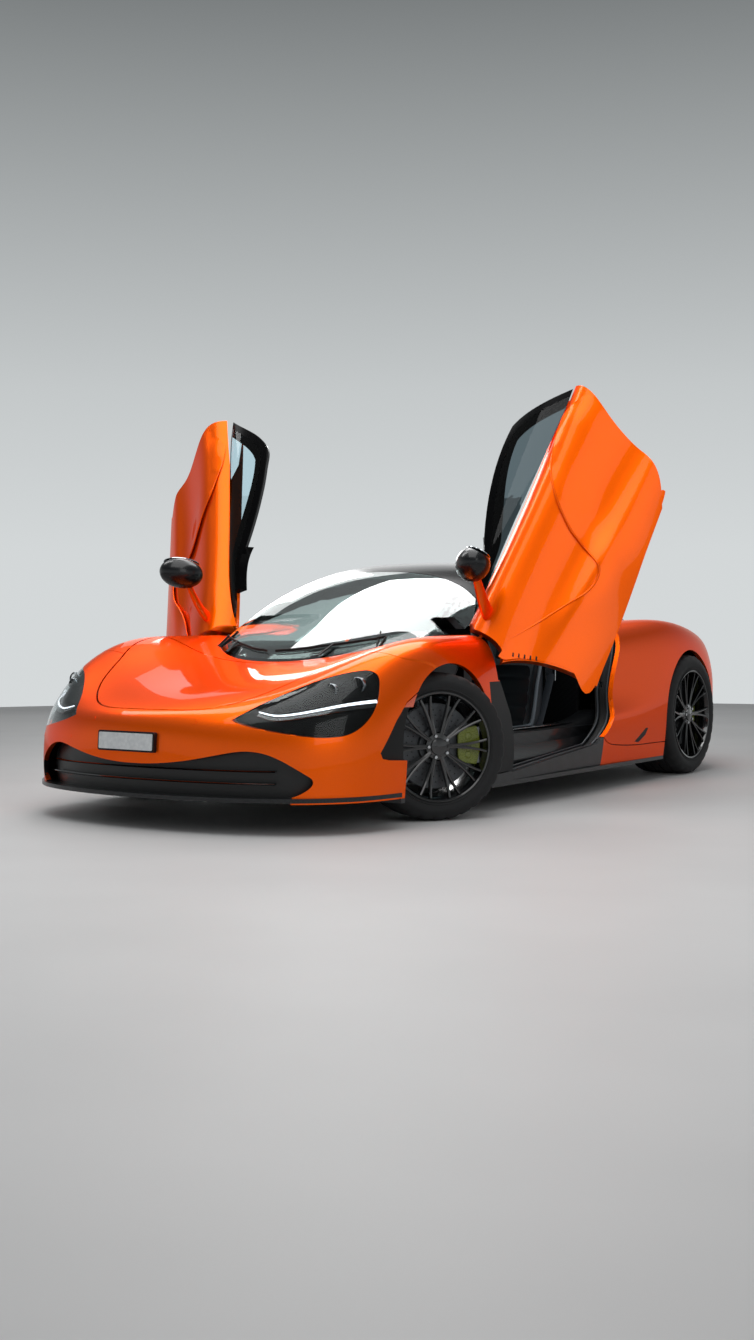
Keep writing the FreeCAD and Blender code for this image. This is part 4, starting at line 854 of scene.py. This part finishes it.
# The rims end 8 mm inside the tyre's walls
RIM_INSET = 8
for word, x, y, radius, width, rim_radius, steered in WHEELS:
    for side, sign in (("left", 1), ("right", -1)):
        place = (Matrix.Translation(Vector((sign * x, y, radius)) * MM)
                 @ Matrix.Rotation(-STEER if steered else 0.0, 4, "Z") @ HULL[side])
        body = "wheel_%s_%s" % (word, side)
        ending = "_%s_%s" % (word, side)
        w = width / 2 - RIM_INSET
        forms = (("tread_tyre", tyre_form(radius, width, rim_radius), RUBBER, 30),
                 ("rim_barrel", barrel_form(rim_radius, w), WHEEL_BLACK, 35),
                 ("rim_spokes", spokes_form(rim_radius, w), WHEEL_BLACK, 40),
                 ("rim_hub", hub_form(w), WHEEL_BLACK, 35), ("wheel_nuts", nuts_form(w), BRIGHT, 35),
                 ("brake_disc", disc_form(), CERAMIC, 35), ("disc_holes", holes_form(), PRIMER, 35))
        tyre, barrel, *_ = [piece(label + ending, form, finish, place, body, smooth)
                            for label, form, finish, smooth in forms]
        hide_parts(word + "_tyre_" + side)
        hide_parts(word + "_rim_" + side)
        body = "steered_" + side if steered else "chassis"
        rounded(piece("caliper" + ending, caliper_form(), CALIPER, place, body, 0), 4.0)

# Headlamps: clear cover, daylight strip over its ledge, and projectors
LAMP = [(442, 470), (482, 503), (520, 535), (600, 588), (690, 636), (760, 660), (820, 672), (862, 652),
        (886, 604), (901, 528), (897, 468), (874, 422), (840, 404), (799, 401), (686, 414), (579, 433),
        (508, 449)]
lamp_ring = smooth_ring(LAMP, 16.0)
STRIP_LINE = [(530, -2085, 504), (626, -2068, 495), (756, -1969, 517), (895, -1757, 545)]
STRIP_STEPS = 40
# Place and radius of each projector, and how far it sits behind the cover
PROJECTORS = ((820, 610, 30), (745, 590, 24))
PROJECTOR_DEPTH = 34


def under(points, depth):
    """Points on the body skin along a line, sunk by depth millimetres, and the normals there."""
    out, ups = [], []
    for p in curve_through(points, STRIP_STEPS):
        where, normal, _ = BODY_SKIN.nearest(p * MM)
        out.append(where / MM - normal * depth)
        ups.append(normal)
    return out, ups


for side, place in HULL.items():
    patch("lamp_cover_" + side, lamp_ring, "front", 24.0, -0.5, 2.5, LENS, place)
    line, ups = under(STRIP_LINE, 9.0)
    tall = [5 + 9 * (k / (STRIP_STEPS - 1)) ** 0.7 for k in range(STRIP_STEPS)]
    piece("daylight_strip_" + side, sweep(line, tall, 5.0, ups, 8, 3.0), DAY_LIGHT, place)
    line, ups = under([(x - 4, y, z - 22) for x, y, z in STRIP_LINE], 13.0)
    piece("lamp_ledge_" + side, sweep(line, 16.0, 6.0, ups, 8, 4.0), BLACK_GLOSS, place, slot="lamp_black")
    lenses, rings = [], []
    for x, z, r in PROJECTORS:
        spot = BODY_SKIN.hit("front", x, z)[0] + Vector((0, PROJECTOR_DEPTH, 0))
        lenses.append(moved(lathe([(2, r), (-10, r), (-17, r * 0.7), (-20, 0.3)], 28, "y"), spot))
        ring = lathe([(4, r + 4), (-8, r + 5), (-12, r + 2), (-8, r - 1), (4, r - 1)], 28, "y")
        rings.append(moved(ring, spot))
    piece("projector_lens_" + side, join(*lenses), LENS, place)
    piece("projector_ring_" + side, join(*rings), REFLECTOR, place)


# Front end trim

def ring_box(x0, x1, z0, z1, r):
    """An upright box outline with rounded corners."""
    corners = ((x1 - r, z1 - r), (x0 + r, z1 - r), (x0 + r, z0 + r), (x1 - r, z0 + r))
    out = []
    for quarter, (cx, cz) in enumerate(corners):
        for k in range(5):
            x, z = polar(r, math.radians(90 * quarter + 22.5 * k))
            out.append((cx + x, cz + z))
    return out


PLATE_SPOT = (-41, 373)
plate_spot, plate_way = BODY_SKIN.hit("front", *PLATE_SPOT)
plate_turn = plate_way.to_track_quat("-Y", "Z").to_matrix().to_4x4()
plate_place = Matrix.Translation(plate_spot * MM) @ plate_turn
holder = slab(ring_box(-165, 165, -43, 43, 10), "y", -7, 24)
piece("plate_holder_front", holder, SATIN, plate_place, smooth=20)
face = slab(ring_box(-157, 157, -35, 35, 6), "y", -9.5, -7)
piece("blank_plate_front", face, PLATE, plate_place, smooth=20)
SENSORS = ((286, 461), (778, 361), (-443, 376), (-286, 461), (-778, 361), (443, 376))
for k, (x, z) in enumerate(SENSORS):
    ring = ring_box(x - 10, x + 10, z - 10, z + 10, 9.9)
    patch("parking_sensor_%d" % k, ring, "front", 12.0, 0.8, 2.0, PAINT)


def mesh_form(ring, view, cell, depth, bar=3.0):
    """Moulded six-sided mesh laid parallel to the body skin inside an outline."""
    (low_x, low_z), (high_x, high_z) = box_of(ring)
    side = cell / math.sqrt(3)
    parts = []
    done = set()
    for r in range(int((high_z - low_z) / (side * 1.5)) + 2):
        for c in range(int((high_x - low_x) / cell) + 2):
            cx = low_x + cell * (c + 0.5 * (r % 2))
            cz = low_z + side * 1.5 * r
            corners = [(cx + side * math.sin(math.pi / 3 * k), cz + side * math.cos(math.pi / 3 * k))
                       for k in range(6)]
            for p, q in zip(corners, corners[1:] + corners[:1]):
                key = (round(p[0] + q[0]), round(p[1] + q[1]))
                if key not in done and inside(p, ring) and inside(q, ring):
                    done.add(key)
                    ends = [BODY_SKIN.hit(view, *spot, -depth)[0] for spot in (p, q)]
                    parts.append(sweep(ends, bar, bar * 1.6, (0, 1, 0), 4))
    return join(*parts)


MOUTH = [(0, 280), (142, 285), (289, 303), (424, 328), (520, 342), (600, 333), (700, 281), (748, 246),
         (764, 216), (750, 190), (702, 165), (0, 165)]
mouth_ring = MOUTH + [(-x, z) for x, z in reversed(MOUTH[1:-1])]
piece("mouth_mesh", mesh_form(mouth_ring, "front", 26.0, 62.0), MESH_BLACK, smooth=0)
# Height of each vane, and how deep it lies behind the bumper's skin
VANES = ((210, 38), (262, 46))
VANE_HALF = 640
bars = []
for z, depth in VANES:
    line = [BODY_SKIN.hit("front", -VANE_HALF + 2 * VANE_HALF * k / 30, z, -depth)[0] for k in range(31)]
    bars.append(sweep(line, 34.0, 9.0, (0, 0, 1), 8, 3.0))
piece("mouth_vanes", join(*bars), BLACK_GLOSS)

# Mirrors on their stalks
MIRROR_SPOT = (1040, -460, 938)
POD_HALF, POD_RADIUS, POD_BACK = 115, 80, 52
half_turn = [math.pi * k / 18 for k in range(19)]
verts, faces = lathe([(POD_HALF * math.cos(a), POD_RADIUS * math.sin(a) + 0.2) for a in half_turn], 40)
verts = [(x, min(y, POD_BACK + 4 * (1 - (x / POD_HALF) ** 2)), z) for x, y, z in verts]
pod_form = moved((verts, faces), MIRROR_SPOT)
whole_turn = [math.pi * k / 20 for k in range(40)]
glass_form = moved(slab([(96 * math.cos(a), 60 * math.sin(a)) for a in whole_turn], "y", 55, 58), MIRROR_SPOT)
line = curve_through([(838, -604, 752), (885, -590, 788), (945, -545, 845), (1000, -490, 905)], 16)
stalk_form = sweep(line, [74 - 34 * k / 15 for k in range(16)], [30 - 8 * k / 15 for k in range(16)],
                   (0.7, 0, -0.7), 14, 2.6)
for side, (place, body) in DOORS.items():
    pod = piece("mirror_pod_" + side, pod_form, POD_BLACK, place, body, 35)
    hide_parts("mirror_" + side)
    piece("mirror_glass_" + side, glass_form, CHROME, place, body, 20)
    piece("mirror_stalk_" + side, stalk_form, PAINT, place, body, 40)


# Door louvres, lower intake and striker

def louvre_lift(y, z):
    return blade_lift(y, z) + 0.8


for side, (place, body) in DOORS.items():
    for k in range(5):
        y, z = -742 + 8 * k, 575 - 26 * k
        ring = [(y - 4, z), (y + 14, z + 7), (y + 14, z + 14), (y - 4, z + 9)]
        patch("door_louvre_%d_%s" % (k, side), ring, "side", 30.0, louvre_lift, 1.0, SATIN, place, body)
INTAKE = [(640, 232), (700, 262), (772, 300), (800, 298), (770, 262), (690, 226)]
striker = join(block(800, 842, 470, 500, 520, 560), moved(lathe([(0, 6), (34, 6)], 12), (806, 485, 540)))
for side, place in HULL.items():
    patch("side_intake_" + side, INTAKE, "side", 30.0, 0.8, 2.0, SATIN, place)
    piece("door_striker_" + side, striker, BRIGHT, place)


def traced(view, points, count, lift):
    """Points on the body skin along a smooth line of a view, lifted off it, and the normals there."""
    hits = [BODY_SKIN.hit(view, a, b, lift(a, b)) for a, b in flat_curve(points, count)]
    return [spot for spot, _ in hits], [normal for _, normal in hits]


# Raised front edge of the door blades
line, ups = traced("side", BLADE_LINE[1:-1], 70, blade_lift)
ends = [2 + 8 * min(1, 8 * k / 69, 8 * (69 - k) / 69) for k in range(70)]
edge_form = sweep(line, ends, [0.8 * e for e in ends], ups)
for side, (place, body) in DOORS.items():
    piece("blade_edge_" + side, edge_form, PAINT, place, body, 60)

# Door aperture: band behind the panel edge and two extruded seals
DOOR = [(-698, 172), (-692, 313), (-708, 432), (-745, 544), (-790, 612), (-790, 612), (-735, 640),
        (-705, 700), (-693, 790), (-693, 790), (-640, 828), (-500, 872), (-240, 938), (-50, 1000),
        (160, 1042), (340, 1050), (340, 1050), (430, 1010), (520, 940), (605, 862), (605, 862),
        (587, 807), (504, 662), (440, 530), (412, 455), (386, 395), (347, 345), (277, 294), (200, 252),
        (200, 252), (-698, 172)]


def grown(ring, amount):
    """An outline moved out from its middle."""
    cy, cz = (sum(p[k] for p in ring) / len(ring) for k in (0, 1))
    out = []
    for y, z in ring:
        run = math.hypot(y - cy, z - cz)
        out.append((y + (y - cy) / run * amount, z + (z - cz) / run * amount))
    return out


# The band runs along the sill and the two posts, and stops below the glass
BAND_TOP = 815
low_ring = [p for p in smooth_ring(grown(DOOR, 20), 24.0) if p[1] < BAND_TOP]
start = max(range(len(low_ring)), key=lambda k: math.dist(low_ring[k], low_ring[k - 1]))
low_ring = low_ring[start:] + low_ring[:start]
depths = [BODY_SKIN.hit("side", y, z)[0].x for y, z in low_ring]
for _ in range(2):
    near = [depths[max(0, i - 2):i + 3] for i in range(len(depths))]
    depths = [sum(few) / len(few) for few in near]
# How far in from the skin and out from the edge the band's corners lie
BAND = ((30, 13), (30, 17), (74, 20), (120, 17), (120, 13), (74, 16))
MID_Z = 500
verts = []
for (y, z), x in zip(low_ring, depths):
    for far_in, out in BAND:
        verts.append((x - far_in, y * (1 + out / 700), MID_Z + (z - MID_Z) * (1 + out / 400)))
band_form = verts, quads(len(low_ring), len(BAND), rings=True)
# Sill cover over the tub side
SILL = [(826, 168), (824, 205), (814, 250), (796, 300), (774, 328), (746, 342), (690, 344), (650, 338),
        (640, 320), (636, 200)]
verts = []
for k in range(24):
    t = k / 23
    swell = 26 * math.sin(math.pi * t) ** 2
    rise = 60 * max(0.0, (t - 0.72) / 0.28) ** 2 + 40 * max(0.0, (0.2 - t) / 0.2) ** 2
    for x, z in SILL:
        part = max(0.0, (z - 250) / 94)
        verts.append((x - swell * part, -688 + 1256 * t, z + rise * part))
cover_form = verts, quads(24, len(SILL))
kick_form = slab([(705, -320), (745, -320), (745, 320), (705, 320)], "z", 343, 346)
for side, place in HULL.items():
    piece("aperture_band_" + side, band_form, SATIN, place, smooth=50)
    for label, far_in, size_mm in (("outer", 44, 15), ("inner", 100, 12)):
        line = [(x - far_in, y * 0.99, MID_Z + (z - MID_Z) * 0.99) for (y, z), x in zip(low_ring, depths)]
        seal = sweep(line, size_mm, size_mm, (1, 0, 0))
        piece("door_seal_%s_%s" % (label, side), seal, SEAL, place, smooth=60)
    walled(piece("sill_cover_" + side, cover_form, CARBON, place, smooth=50), 3)
    rounded(piece("sill_kick_plate_" + side, kick_form, BRIGHT, place, smooth=20), 2.0)

# Seats: moulded shell, crowned cushions with sewn channels, bolsters
PATH = [(-285, 262), (-200, 250), (-60, 232), (80, 222), (170, 240), (225, 300), (262, 400), (300, 520),
        (338, 640), (372, 750), (396, 830)]
SEAT_X = 365


def seat_lines(count):
    """Points along the seat's middle from the knee up, and which way is out of the cushion there."""
    line = flat_curve(PATH, count)
    ups = []
    for k in range(count):
        ay, az = line[max(k - 1, 0)]
        by, bz = line[min(k + 1, count - 1)]
        run = math.hypot(by - ay, bz - az)
        ups.append((-(bz - az) / run, (by - ay) / run))
    return list(zip(line, ups))


CUSHION = seat_lines(120)


def pad_form(first, last, half, thick, channels, count=44, across=24):
    """A closed crowned pad along the seat line, pulled in between its corners, with sewn channels."""
    top, bottom = [], []
    for i in range(count + 1):
        t = i / count
        (y, z), (uy, uz) = CUSHION[int(round(first + (last - first) * t))]
        v = 2 * t - 1
        for j in range(across + 1):
            u = 2 * j / across - 1
            x = u * half * (1 - 0.05 * (1 - v * v)) * (1 - 0.1 * max(0, t - 0.5) * 2)
            edge = (1 - abs(u) ** 5) ** 0.5 * (1 - abs(v) ** 7) ** 0.5 if abs(u) < 1 and abs(v) < 1 else 0.0
            seam = sum(math.exp(-((t - c) * (last - first) / 1.1) ** 2) for c in channels)
            rise = thick * (0.35 + 0.65 * (1 - u * u) * (1 - 0.4 * v * v)) * edge - 5.0 * seam * edge
            top.append((x, y + uy * (6 + rise), z + uz * (6 + rise)))
            bottom.append((x, y + uy * 5, z + uz * 5))
    n = across + 1
    m = len(top)
    faces = quads(count + 1, n)
    faces += [(m + a, m + d, m + c, m + b) for a, b, c, d in faces]
    rim = [pair for i in range(count)
           for pair in ((i * n, (i + 1) * n), ((i + 1) * n + across, i * n + across))]
    rim += [pair for j in range(across) for pair in ((j + 1, j), (count * n + j, count * n + j + 1))]
    return top + bottom, faces + [(a, b, m + b, m + a) for a, b in rim]


def shell_form(steps=60, across=24):
    verts = []
    for k, ((y, z), (uy, uz)) in enumerate(seat_lines(steps)):
        t = k / (steps - 1)
        half = 244 - 50 * max(0.0, (t - 0.55) / 0.45) ** 1.5
        wing = 70 + 46 * math.sin(math.pi * min(1.0, t * 1.05)) - 50 * max(0.0, (t - 0.7) / 0.3)
        for j in range(across + 1):
            u = 2 * j / across - 1
            rise = wing * abs(u) ** 6
            verts.append((u * half * (1 + 0.02 * abs(u) ** 4), y + uy * rise, z + uz * rise))
    return verts, quads(steps, across + 1)


def bolster_form(hand, first, last):
    """A round bolster down one side of a cushion, fat in its middle."""
    route, tops, fat = [], [], []
    for i in range(20):
        k = int(first + (last - first) * i / 19)
        (y, z), (uy, uz) = CUSHION[k]
        x = hand * (205 - 34 * max(0.0, (k / 119 - 0.55) / 0.45))
        route.append((x, y + uy * 46, z + uz * 46))
        tops.append((-hand * 0.6, uy, uz))
        fat.append(20 + 44 * math.sin(math.pi * (0.08 + 0.84 * i / 19)) ** 0.6)
    return sweep(route, [0.8 * f for f in fat], [1.25 * f for f in fat], tops, 16, 2.4)


# The belt runs from its anchor on the post behind the shoulder to the buckle beside the cushion
BELT = ((560, 566, 800), (566, 470, 720), (590, 330, 520), (612, 180, 330))
for side, sign in (("left", 1), ("right", -1)):
    spot = Matrix.Translation(Vector((sign * SEAT_X, 0, 4)) * MM)
    shell = piece("seat_shell_" + side, shell_form(), PALE_LEATHER, spot, smooth=60)
    walled(shell, 16)
    if sign > 0:
        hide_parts("chairs")
    for label, form, finish in (("base", pad_form(4, 46, 176, 44, (0.3, 0.55, 0.8)), LEATHER),
                                ("back", pad_form(54, 98, 168, 40, (0.2, 0.4, 0.6, 0.8)), LEATHER),
                                ("head", pad_form(101, 118, 118, 40, ()), SUEDE)):
        soft = piece("seat_%s_pad_%s" % (label, side), form, finish, spot, smooth=70, slot="leather")
    for hand in (-1, 1):
        for label, first, last in (("thigh", 3, 46), ("rib", 52, 96)):
            name = "seat_%s_bolster_%s_%s" % (label, "in" if hand * sign < 0 else "out", side)
            soft = piece(name, bolster_form(hand, first, last), LEATHER, spot, smooth=70)
    route = curve_through([(sign * x, y, z) for x, y, z in BELT], 30)
    belt = sweep(route, 46, 2.4, (0, -0.9, 0.5), 8, 6.0)
    piece("seat_belt_" + side, belt, WEBBING, smooth=40)
    tongue = moved(block(-30, 30, -4, 4, -38, 38), (sign * 578, 388, 600))
    rounded(piece("belt_tongue_" + side, tongue, BRIGHT), 3.0)
    anchor = lathe([(-12, 0.3), (-12, 26), (8, 28), (10, 20), (10, 0.3)], 28, "y")
    piece("belt_anchor_" + side, moved(anchor, (sign * 560, 566, 806)), SATIN)

# Dash, screens, vents, wheel trim and console
SECTION = [(-985, 735), (-960, 752), (-860, 762), (-740, 768), (-668, 752), (-612, 718), (-590, 690),
           (-600, 655), (-632, 610), (-650, 552)]
DASH_HALF = 592
verts = []
for k in range(33):
    x = -DASH_HALF + 2 * DASH_HALF * (k / 32)
    hood = 22 * math.exp(-((x - SEAT_X) / 170) ** 2)
    dip = 10 * math.exp(-(x / 150) ** 2)
    for y, z in SECTION:
        verts.append((x, y - dip * 1.5, z + (hood if z > 700 else 0) * 0.6 + 3))
walled(piece("dash_top", (verts, quads(33, len(SECTION))), SUEDE, smooth=60), 4)
driver = moved(block(-120, 120, -8, 8, -42, 42), (SEAT_X, -596, 752), Matrix.Rotation(-0.35, 3, "X"))
rounded(piece("driver_display", driver, SCREEN), 5.0)
middle = moved(block(-72, 72, -8, 8, -110, 110), (0, -604, 650), Matrix.Rotation(-0.25, 3, "X"))
rounded(piece("centre_display", middle, SCREEN), 6.0)
ring = lathe([(-10, 34), (6, 36), (10, 32), (6, 27), (-10, 25), (-10, 34)], 32, "y")
vent = join(ring, *[moved(block(-26, 26, -8, 6, -1.5, 1.5), (0, 0, z)) for z in (-14, -5, 4, 13)])
for k, x in enumerate((-520, -150, 150, 545)):
    piece("air_vent_%d" % k, moved(vent, (x, -602, 690)), SATIN)
spokes = join(block(-46, 46, 0, 22, -40, 40), block(-158, -40, 2, 12, -14, 12),
              block(40, 158, 2, 12, -14, 12), block(-12, 12, 2, 12, -160, -36))
boss = moved(spokes, (SEAT_X, -430, 665), Matrix.Rotation(math.atan2(0.36, 0.93), 3, "X"))
rounded(piece("steering_boss", boss, SATIN, body="steering_wheel_body"), 6.0)
TUNNEL = [(-600, 372), (-450, 400), (-250, 384), (0, 366), (300, 372), (560, 430)]
CROWN = ((-104, 120), (-100, 40), (-84, 10), (-50, 0), (50, 0), (84, 10), (100, 40), (104, 120))
verts = [(x, y, z - drop) for y, z in flat_curve(TUNNEL, 40) for x, drop in CROWN]
walled(piece("console_cover", (verts, quads(40, len(CROWN))), LEATHER, smooth=50), 4)
key = lathe([(0, 15), (10, 15), (12, 12), (12, 0.3)], 24, "z")
piece("console_buttons", join(*[moved(key, (x, y, 386)) for x in (-30, 30) for y in (-360, -300)]), BRIGHT)
mats = [moved(block(-150, 150, -300, 300, 0, 8), (sign * SEAT_X, -640, 132)) for sign in (-1, 1)]
rounded(piece("floor_mats", join(*mats), CARPET), 4.0)


# Wipers parked along the foot of the windscreen

def screen_foot(x):
    for y in range(-1350, -500, 6):
        if CABIN_SKIN.hit("top", x, y)[0].z > BODY_SKIN.hit("top", x, y)[0].z + 4:
            return y
    return -900


# Where each blade starts and ends across the car, and where its arm turns
WIPERS = ((-600, -60, -330), (-10, 560, 250))
for k, (x0, x1, pivot) in enumerate(WIPERS):
    mid = (x0 + x1) / 2
    foot = screen_foot(pivot)
    blade, arm = [], []
    for i in range(20):
        x = x0 + (x1 - x0) * i / 19
        y = screen_foot(x) + 52 + 20 * math.sin(math.pi * i / 19)
        blade.append(CABIN_SKIN.hit("top", x, y, 9)[0])
    for i in range(10):
        t = i / 9
        x, y = pivot + (mid - pivot) * t, foot - 22 + (screen_foot(mid) + 68 - foot + 22) * t
        arm.append((x, y, max(skin.hit("top", x, y)[0].z for skin in (BODY_SKIN, CABIN_SKIN)) + 16))
    piece("wiper_blade_%d" % k, sweep(blade, 6, 13, (0, 0, 1), 8, 3.0), SATIN)
    piece("wiper_arm_%d" % k, sweep(arm, [20 - i for i in range(10)], 7, (0, 0, 1), 8, 3.0), SATIN)

# Tail: mesh, lamp lines, pipes, reflectors, plate and the louvres on the deck
TAIL = [(0, 590), (330, 590), (515, 605), (635, 645), (722, 704), (712, 728), (640, 744), (560, 750),
        (420, 738), (0, 736)]
tail_ring = TAIL + [(-x, z) for x, z in reversed(TAIL[1:-1])]
piece("tail_mesh", mesh_form(tail_ring, "back", 24.0, 50.0), MESH_BLACK, smooth=0)
TAIL_LINES = {"upper": [(250, 738), (420, 742), (560, 752), (650, 742), (716, 722)],
              "lower": [(420, 596), (520, 606), (640, 648), (716, 694)]}
tip = lathe([(2205, 38), (2268, 42), (2272, 45), (2268, 48.5), (2200, 47.5), (2200, 41), (2205, 38)], 48, "y")
for side, place in HULL.items():
    for label, route in TAIL_LINES.items():
        line, ups = traced("back", route, 36, lambda x, z: -8.0)
        bar = sweep(line, [4 + 7 * (k / 35) ** 0.8 for k in range(36)], 6, ups, 8, 3.0)
        piece("tail_line_%s_%s" % (label, side), bar, TAIL_GLOW, place, smooth=50)
    piece("exhaust_tip_" + side, moved(tip, (115, -14, 668)), STAINLESS, place, smooth=40)
    patch("rear_reflector_" + side, ring_box(560, 650, 352, 372, 9), "back", 30.0, 1.5, 3.0, RED_LENS, place)
patch("plate_holder_rear", ring_box(-170, 170, 428, 518, 10), "back", 14.0, 4.0, 4.0, SATIN)
patch("blank_plate_rear", ring_box(-160, 160, 438, 508, 6), "back", 14.0, 6.5, 2.5, PLATE)
for k in range(7):
    y = 1170 + 66 * k
    half = 290 - 17 * k
    ring = [(-half, y + 30), (-half * 0.5, y + 6), (0, y), (half * 0.5, y + 6), (half, y + 30),
            (half - 8, y + 48), (half * 0.5, y + 26), (0, y + 20), (-half * 0.5, y + 26), (-half + 8, y + 48)]
    patch("deck_louvre_%d" % k, ring, "top", 30.0, 9.0, 5.0, SATIN, skin=CABIN_SKIN)

# Underside: fasteners and jacking pads, hung at the floor's height
FLOOR_Z = 110
spots = [(x, y) for x in (-700, -350, 0, 350, 700) for y in range(-1500, 1700, 320)
         if not (abs(x) > 500 and (abs(y - FRONT_Y) < 420 or abs(y - REAR_Y) < 420))]
head = lathe([(0, 0.3), (-4, 4), (-5, 9), (0, 11)], 14, "z")
piece("floor_fasteners", join(*[moved(head, (x, y, FLOOR_Z)) for x, y in spots]), BRIGHT)
pads = [moved(block(-35, 35, -35, 35, -10, 0), (x, y, FLOOR_Z)) for x in (-800, 800) for y in (-760, 720)]
rounded(piece("jacking_pads", join(*pads), RUBBER), 4.0)

# Floor, light and camera
STUDIO_RADIUS = 9.83
bpy.ops.mesh.primitive_circle_add(vertices=128, radius=STUDIO_RADIUS, fill_type="NGON", location=(0, 0, 0))
ground = bpy.context.object
ground.name = "studio_floor"
screed, spot = started("painted_studio_floor")
scuff = node(screed, "ShaderNodeTexNoise", {"Vector": spot, "Scale": 1.2, "Detail": 2.0})
pale = node(screed, "ShaderNodeValToRGB", {"Fac": scuff}, [(0.3, "#c9c9c9"), (0.7, "#cfcfcf")])
matt = node(screed, "ShaderNodeBsdfPrincipled", {"Base Color": pale, "Roughness": 0.55})
ground.data.materials.append(close(screed, matt))

# The camera, mirrors and glass see the backdrop, and everything else is filled evenly
world = bpy.data.worlds.new("studio")
bpy.context.scene.world = world
world.use_nodes = True
world.node_tree.nodes.clear()
ray = node(world, "ShaderNodeLightPath").outputs
seen = node(world, "ShaderNodeMath", {0: ray["Is Camera Ray"], 1: ray["Is Glossy Ray"]}, operation="ADD")
seen = node(world, "ShaderNodeMath", {0: seen, 1: ray["Is Transmission Ray"]}, operation="ADD",
            use_clamp=True)
heading = node(world, "ShaderNodeTexCoord").outputs["Generated"]
height = node(world, "ShaderNodeSeparateXYZ", {"Vector": heading}).outputs["Z"]
level = node(world, "ShaderNodeMapRange", {"Value": height, "From Min": -0.05, "From Max": 0.95})
backdrop = node(world, "ShaderNodeValToRGB", {"Fac": level},
                [(0.0, "#d5d9da"), (0.1, "#d3d7d8"), (0.2, "#c4c8c9"), (0.45, "#6c7071"), (0.7, "#9a9c9d")])
room = node(world, "ShaderNodeBackground", {"Color": backdrop, "Strength": 1.0})
fill = node(world, "ShaderNodeBackground", {"Color": hexed("#d8dadb"), "Strength": 0.4})
mixed = node(world, "ShaderNodeMixShader", {0: seen, 1: fill, 2: room})
node(world, "ShaderNodeOutputWorld", {"Surface": mixed})

# Three boxes light the car, and three cards only show in its reflections: place and aim in metres, width,
# length and watts
LIGHTS = (
    ("overhead_box", (0.6, -1.8, 5.2), (0.1, -0.2, 0.4), 4.2, 5.5, 190),
    ("front_box", (5.5, -4.5, 3.4), (0.2, -0.4, 0.6), 3.0, 3.0, 45),
    ("back_box", (-4.5, 5.5, 3.6), (0.0, 0.3, 0.8), 5.0, 3.0, 60),
    ("windscreen_card", (-0.9, 2.1, 5.0), (-0.9, 2.1, 0.0), 4.8, 3.2, 310),
    ("hood_card", (-3.3, 2.7, 2.5), (0.3, -1.8, 0.6), 1.2, 1.6, 40),
    ("shoulder_card", (-3.0, -1.0, 4.7), (1.0, -0.5, 1.5), 1.2, 2.6, 60))
for name, spot, aim, wide, long, watts in LIGHTS:
    data = bpy.data.lights.new(name, "AREA")
    data.shape = "RECTANGLE"
    data.size = wide
    data.size_y = long
    data.energy = watts
    lamp = linked(name, data)
    lamp.location = spot
    lamp.rotation_euler = (Vector(aim) - Vector(spot)).to_track_quat("-Z", "Y").to_euler()
    lamp.visible_camera = False
    lamp.visible_diffuse = not name.endswith("_card")

# The photo's camera: its turns in radians, its focal length in the photo's pixels, its place in metres
YAW, PITCH, ROLL, FOCAL = -0.5956059, -0.0257223, -0.0028067, 1564.2448
EYE = (4.5463146, -7.1443672, 0.8412794)
PHOTO_HEIGHT, SENSOR = 1340, 36
eye = bpy.data.cameras.new("photo_camera")
camera = linked("photo_camera", eye)
ahead = Vector((math.sin(YAW) * math.cos(PITCH), math.cos(YAW) * math.cos(PITCH), math.sin(PITCH)))
right = Vector((math.cos(YAW), -math.sin(YAW), 0))
above = right.cross(ahead)
level_right = right * math.cos(ROLL) + above * math.sin(ROLL)
level_up = above * math.cos(ROLL) - right * math.sin(ROLL)
turn = Matrix((level_right, level_up, -ahead)).transposed().to_4x4()
camera.matrix_world = Matrix.Translation(EYE) @ turn
eye.sensor_fit = "VERTICAL"
eye.sensor_height = SENSOR
eye.lens = FOCAL / PHOTO_HEIGHT * SENSOR
bpy.context.scene.camera = camera
bpy.context.scene.view_settings.view_transform = "Standard"
